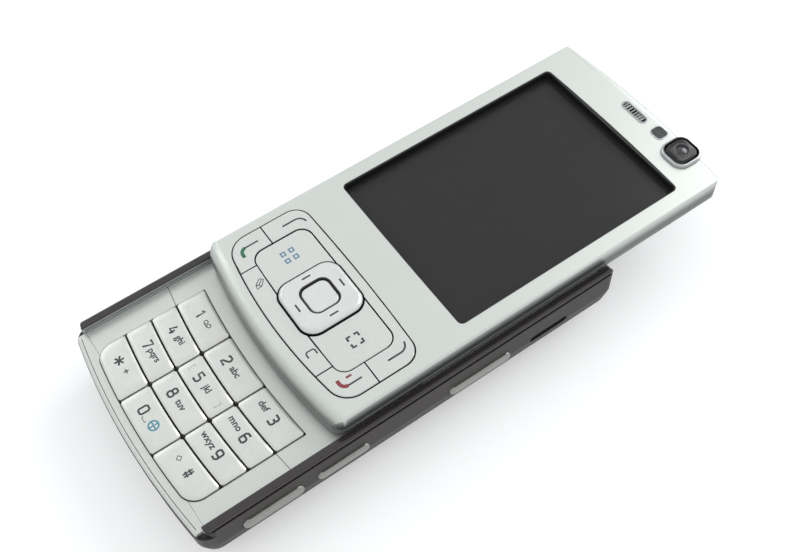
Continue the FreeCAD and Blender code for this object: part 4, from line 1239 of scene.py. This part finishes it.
@dataclass
class BaseHalf:
    """The lower half: housing, rims, plates, side keys, sockets and the parts inside.

    Attributes:
        softened: Nodes with softened edges, and the radius of each.
        plain: Nodes that keep their own mesh.
        housing_deg: Edges of the housing that turn less than this are shaded as one surface.
        media_keys: How many media keys there are.
        media_crown_mm: How far the rim of a media key's top lies below its middle.
        cap_bow: Radius of the end cap's outer edge.
        groove_inset: From the end cap's edge to its groove.
        groove_mm: Width of the groove's line of painted shade.
        side_wall: Where the right side wall stands along X.
        side_keys: Length and height of the face of each key in the right side.
    """

    softened: dict[str, float] = field(
        default_factory=lambda: {
            "back_housing": 0.05,
            "base_frame": 0.0,
            "end_cap": 0.05,
            "keypad_plate_upper": 0.05,
            "keypad_plate_lower": 0.05,
            "battery_cover": 0.05,
            "camera_key": 0.0,
            "gallery_key": 0.0,
            "volume_rocker": 0.0,
            "card_door": 0.05,
            "lens_cover": 0.1,
            "camera_lens": 0.0,
            "audio_jack": 0.0,
            "charger_socket": 0.0,
            "base_screws": 0.0,
        }
    )
    plain: tuple[str, ...] = (
        "guide_rail_left", "guide_rail_right", "keypad_mat", "main_board", "battery",
        "camera_module", "flash_window", "speaker_grilles", "usb_socket",
    )
    housing_deg: float = 35.0
    media_keys: int = 4
    media_crown_mm: float = 0.1
    cap_bow: float = 160.0
    groove_inset: float = 0.85
    groove_mm: float = 0.14
    side_wall: float = 26.5
    side_keys: dict[str, Point] = field(
        default_factory=lambda: {
            "camera_key": (12.9, 2.9),
            "gallery_key": (11.4, 2.2),
            "volume_rocker": (14.7, 2.3),
        }
    )

    def build(self) -> None:
        """Make the lower half."""
        for node, edge in self.softened.items():
            smooth_deg = self.housing_deg if node == "back_housing" else SoftenedPiece.smooth_deg
            SoftenedPiece(node, edge, smooth_deg).build()
        for node in self.plain:
            dress_node(node)
        for place in range(1, self.media_keys + 1):
            SoftenedPiece(f"media_key_{place}", crown_mm=self.media_crown_mm).build()
        self.media_marks()
        self.side_key_recess_shades()
        self.cap_line()
        self.contacts()

    def media_marks(self) -> None:
        """Print the usual player symbols on the media keys."""
        for place in range(1, self.media_keys + 1):
            node = f"media_key_{place}"
            low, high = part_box(node)
            x, y = (low.x + high.x) / 2 / MM, (low.y + high.y) / 2 / MM
            ink = Ink(high.z, body_of_node(node))
            size, apart, bar_width, edge_width = 1.1, 0.9, 0.35, 0.3
            if place == 1:
                self.triangle(ink, x + apart, y, -size)
                self.triangle(ink, x - apart, y, -size)
            elif place == 2:
                self.triangle(ink, x - apart, y, size)
                for bar in (0.7, 1.6):
                    ink.stroke([(x + bar, y - size), (x + bar, y + size)], bar_width)
            elif place == 3:
                square = rounded_outline((2 * size, 2 * size), 0.1, (x, y), steps=1)
                ink.stroke(square, edge_width, True)
            else:
                self.triangle(ink, x - apart, y, size)
                self.triangle(ink, x + apart, y, size)
            ink.piece(f"{node}_mark", GREY_INK)

    @staticmethod
    def triangle(ink: Ink, x: float, y: float, size: float) -> None:
        """Draw a triangle that points along X where its size is above 0.

        Args:
            ink: The print.
            x: Middle of its base.
            y: Its middle along Y.
            size: Its length.
        """
        back, half, width = x - size / 2, abs(size), 0.3
        ink.stroke([(back, y - half), (x + size / 2, y), (back, y + half)], width, True)

    def side_key_recess_shades(self) -> None:
        """Line the recess round each key in the right side with black, as painted shade in that recess."""
        heights = (self.side_wall - 0.3, self.side_wall - 0.04)
        for node, size in self.side_keys.items():
            low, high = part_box(node)
            centre = ((low.y + high.y) / 2 / MM, (low.z + high.z) / 2 / MM)
            outlines = tuple(
                rounded_outline(size, size[1] / 2 - 0.001, centre, grow) for grow in (0.45, 0.14)
            )
            wall_ring(f"{node}_pocket_shade", outlines, heights, BLACK_NYLON, "base", sideways=True)

    def cap_line(self) -> None:
        """Draw a dark line of painted shade where a fine groove follows the end cap's outer edge."""
        low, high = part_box("end_cap")
        ink = Ink(high.z, "base")
        half = high.x / MM - self.groove_inset
        points = []
        steps = 12
        for step in range(-steps, steps + 1):
            x = half * step / steps
            rise = self.cap_bow - math.sqrt(self.cap_bow**2 - x**2)
            points.append((x, low.y / MM + self.groove_inset + rise))
        ink.stroke(points, self.groove_mm)
        ink.piece("end_cap_groove_shade", GREY_INK)

    def contacts(self) -> None:
        """Set the spring contacts in the data socket."""
        low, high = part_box("usb_socket")
        tongue = (low + high) / 2 / MM
        BarRow(
            "usb_contacts",
            start=(tongue.x - 1.6, low.y / MM + 3.0, tongue.z + 0.55),
            step=(0.8, 0.0, 0.0),
            count=5,
            size=(0.35, 4.0, 0.12),
            finish=CONTACT_GOLD,
            body="base",
        ).build()


def shown_rays(tree: bpy.types.NodeTree) -> bpy.types.NodeSocket:
    """Tell apart the rays that show a background from those that light the phone.

    Args:
        tree: The node tree of the floor or the world.

    Returns:
        A socket that is 1 for camera, glossy and transmission rays.
    """
    rays = add_node(tree, "ShaderNodeLightPath").outputs
    seen = rays["Is Camera Ray"]
    for name in ("Is Glossy Ray", "Is Transmission Ray"):
        seen = add_node(
            tree, "ShaderNodeMath", links={0: seen, 1: rays[name]}, operation="MAXIMUM"
        ).outputs[0]
    return seen


@dataclass
class Studio:
    """Floor, light and the camera at the photograph's viewing angle.

    Attributes:
        eye: The camera's place.
        right: The picture's right.
        down: The picture's way down.
        ahead: The way that the camera looks.
        focal_px: Focal length in the photograph's pixels.
        width_px: The photograph's width.
        low_light: Strength of the room's light from the horizon.
        high_light: Strength of the room's light from above.
        floor_glow: How much of the floor's white shows in shadow too.
    """

    eye: tuple[float, float, float] = (0.09790, -0.04597, 0.18759)
    right: tuple[float, float, float] = (0.56894649, 0.82142813, -0.0394427)
    down: tuple[float, float, float] = (0.67635767, -0.4946715, -0.54574757)
    ahead: tuple[float, float, float] = (-0.46780358, 0.28382379, -0.83702083)
    focal_px: float = 1018.19
    width_px: float = 800.0
    low_light: float = 0.10
    high_light: float = 1.15
    floor_glow: float = 0.38

    def build(self) -> None:
        """Make the floor, the lights, the world and the camera."""
        self.floor()
        self.lights()
        self.world()
        self.camera()
        bpy.context.scene.view_settings.view_transform = "Standard"

    def floor(self) -> None:
        """Make a plain pale floor."""
        mesh = bpy.data.meshes.new("floor")
        reach = 3.0
        corners = [(-reach, -reach, 0), (reach, -reach, 0), (reach, reach, 0), (-reach, reach, 0)]
        mesh.from_pydata(corners, [], [(0, 1, 2, 3)])
        plane = bpy.data.objects.new("floor", mesh)
        made = bpy.data.materials.new("pale_floor")
        made.use_nodes = True
        tree = made.node_tree
        shader = tree.nodes["Principled BSDF"]
        shader.inputs["Base Color"].default_value = linear("d6d7d8")
        shader.inputs["Roughness"].default_value = 0.7
        shader.inputs["Emission Color"].default_value = linear("ffffff")
        glow = add_node(
            tree,
            "ShaderNodeMath",
            {1: self.floor_glow},
            {0: shown_rays(tree)},
            operation="MULTIPLY",
        )
        tree.links.new(glow.outputs[0], shader.inputs["Emission Strength"])
        mesh.materials.append(made)
        bpy.context.scene.collection.objects.link(plane)

    def lamp(
        self, name: str, place: tuple[float, float, float], size: float, power: float
    ) -> None:
        """Hang a soft square lamp that looks at the phone.

        Args:
            name: Its name.
            place: Where it hangs.
            size: Its side.
            power: Its power in watts.
        """
        light = bpy.data.lights.new(name, "AREA")
        light.size = size
        light.energy = power
        lamp = bpy.data.objects.new(name, light)
        lamp.location = place
        lamp.rotation_mode = "QUATERNION"
        lamp.rotation_quaternion = (-Vector(place)).to_track_quat("-Z", "Y")
        bpy.context.scene.collection.objects.link(lamp)

    def lights(self) -> None:
        """Hang the main lamp beyond the phone's top end and a weak one to its left."""
        self.lamp("main_lamp", (-0.1, 1.2, 0.8), 1.0, 9.0)
        self.lamp("fill_lamp", (-1.1, -0.3, 0.7), 0.8, 2.0)

    def world(self) -> None:
        """Fill the room with pale light that grows upwards, and show white behind all."""
        world = bpy.data.worlds.new("room")
        world.use_nodes = True
        bpy.context.scene.world = world
        tree = world.node_tree
        background = tree.nodes["Background"]
        background.inputs["Color"].default_value = linear("f4f5f6")
        way = add_node(tree, "ShaderNodeTexCoord").outputs["Generated"]
        upward = add_node(tree, "ShaderNodeSeparateXYZ", links={"Vector": way}).outputs["Z"]
        level = add_node(
            tree,
            "ShaderNodeMapRange",
            {"From Min": 0.0, "From Max": 0.9, "To Min": self.low_light, "To Max": self.high_light},
            {"Value": upward},
        )
        strength = add_node(
            tree,
            "ShaderNodeMix",
            {3: 1.0},
            {"Factor": shown_rays(tree), 2: level.outputs["Result"]},
            data_type="FLOAT",
        )
        tree.links.new(strength.outputs[0], background.inputs["Strength"])

    def camera(self) -> None:
        """Set the camera where the photograph was taken from."""
        data = bpy.data.cameras.new("camera")
        data.sensor_width = 36.0
        data.lens = self.focal_px / self.width_px * data.sensor_width
        data.clip_start = 0.005
        camera = bpy.data.objects.new("camera", data)
        up, back = (tuple(-part for part in way) for way in (self.down, self.ahead))
        turn = Matrix((self.right, up, back)).transposed()
        camera.matrix_world = Matrix.Translation(self.eye) @ turn.to_4x4()
        bpy.context.scene.collection.objects.link(camera)
        bpy.context.scene.camera = camera


def corners(box: tuple[Vector, Vector]) -> list[list[float]]:
    """Turn a box into plain lists of numbers."""
    return [list(box[0]), list(box[1])]


def main() -> None:
    """Build the phone's looks in order."""
    logging.basicConfig(level=logging.INFO)
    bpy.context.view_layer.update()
    for assembly in (BaseHalf(), NumberKeypad(), KeyCluster(), SliderHalf(), Studio()):
        LOG.info("%s", type(assembly).__name__)
        assembly.build()
    LOG.info("done")


if __name__ == "__main__":
    main()
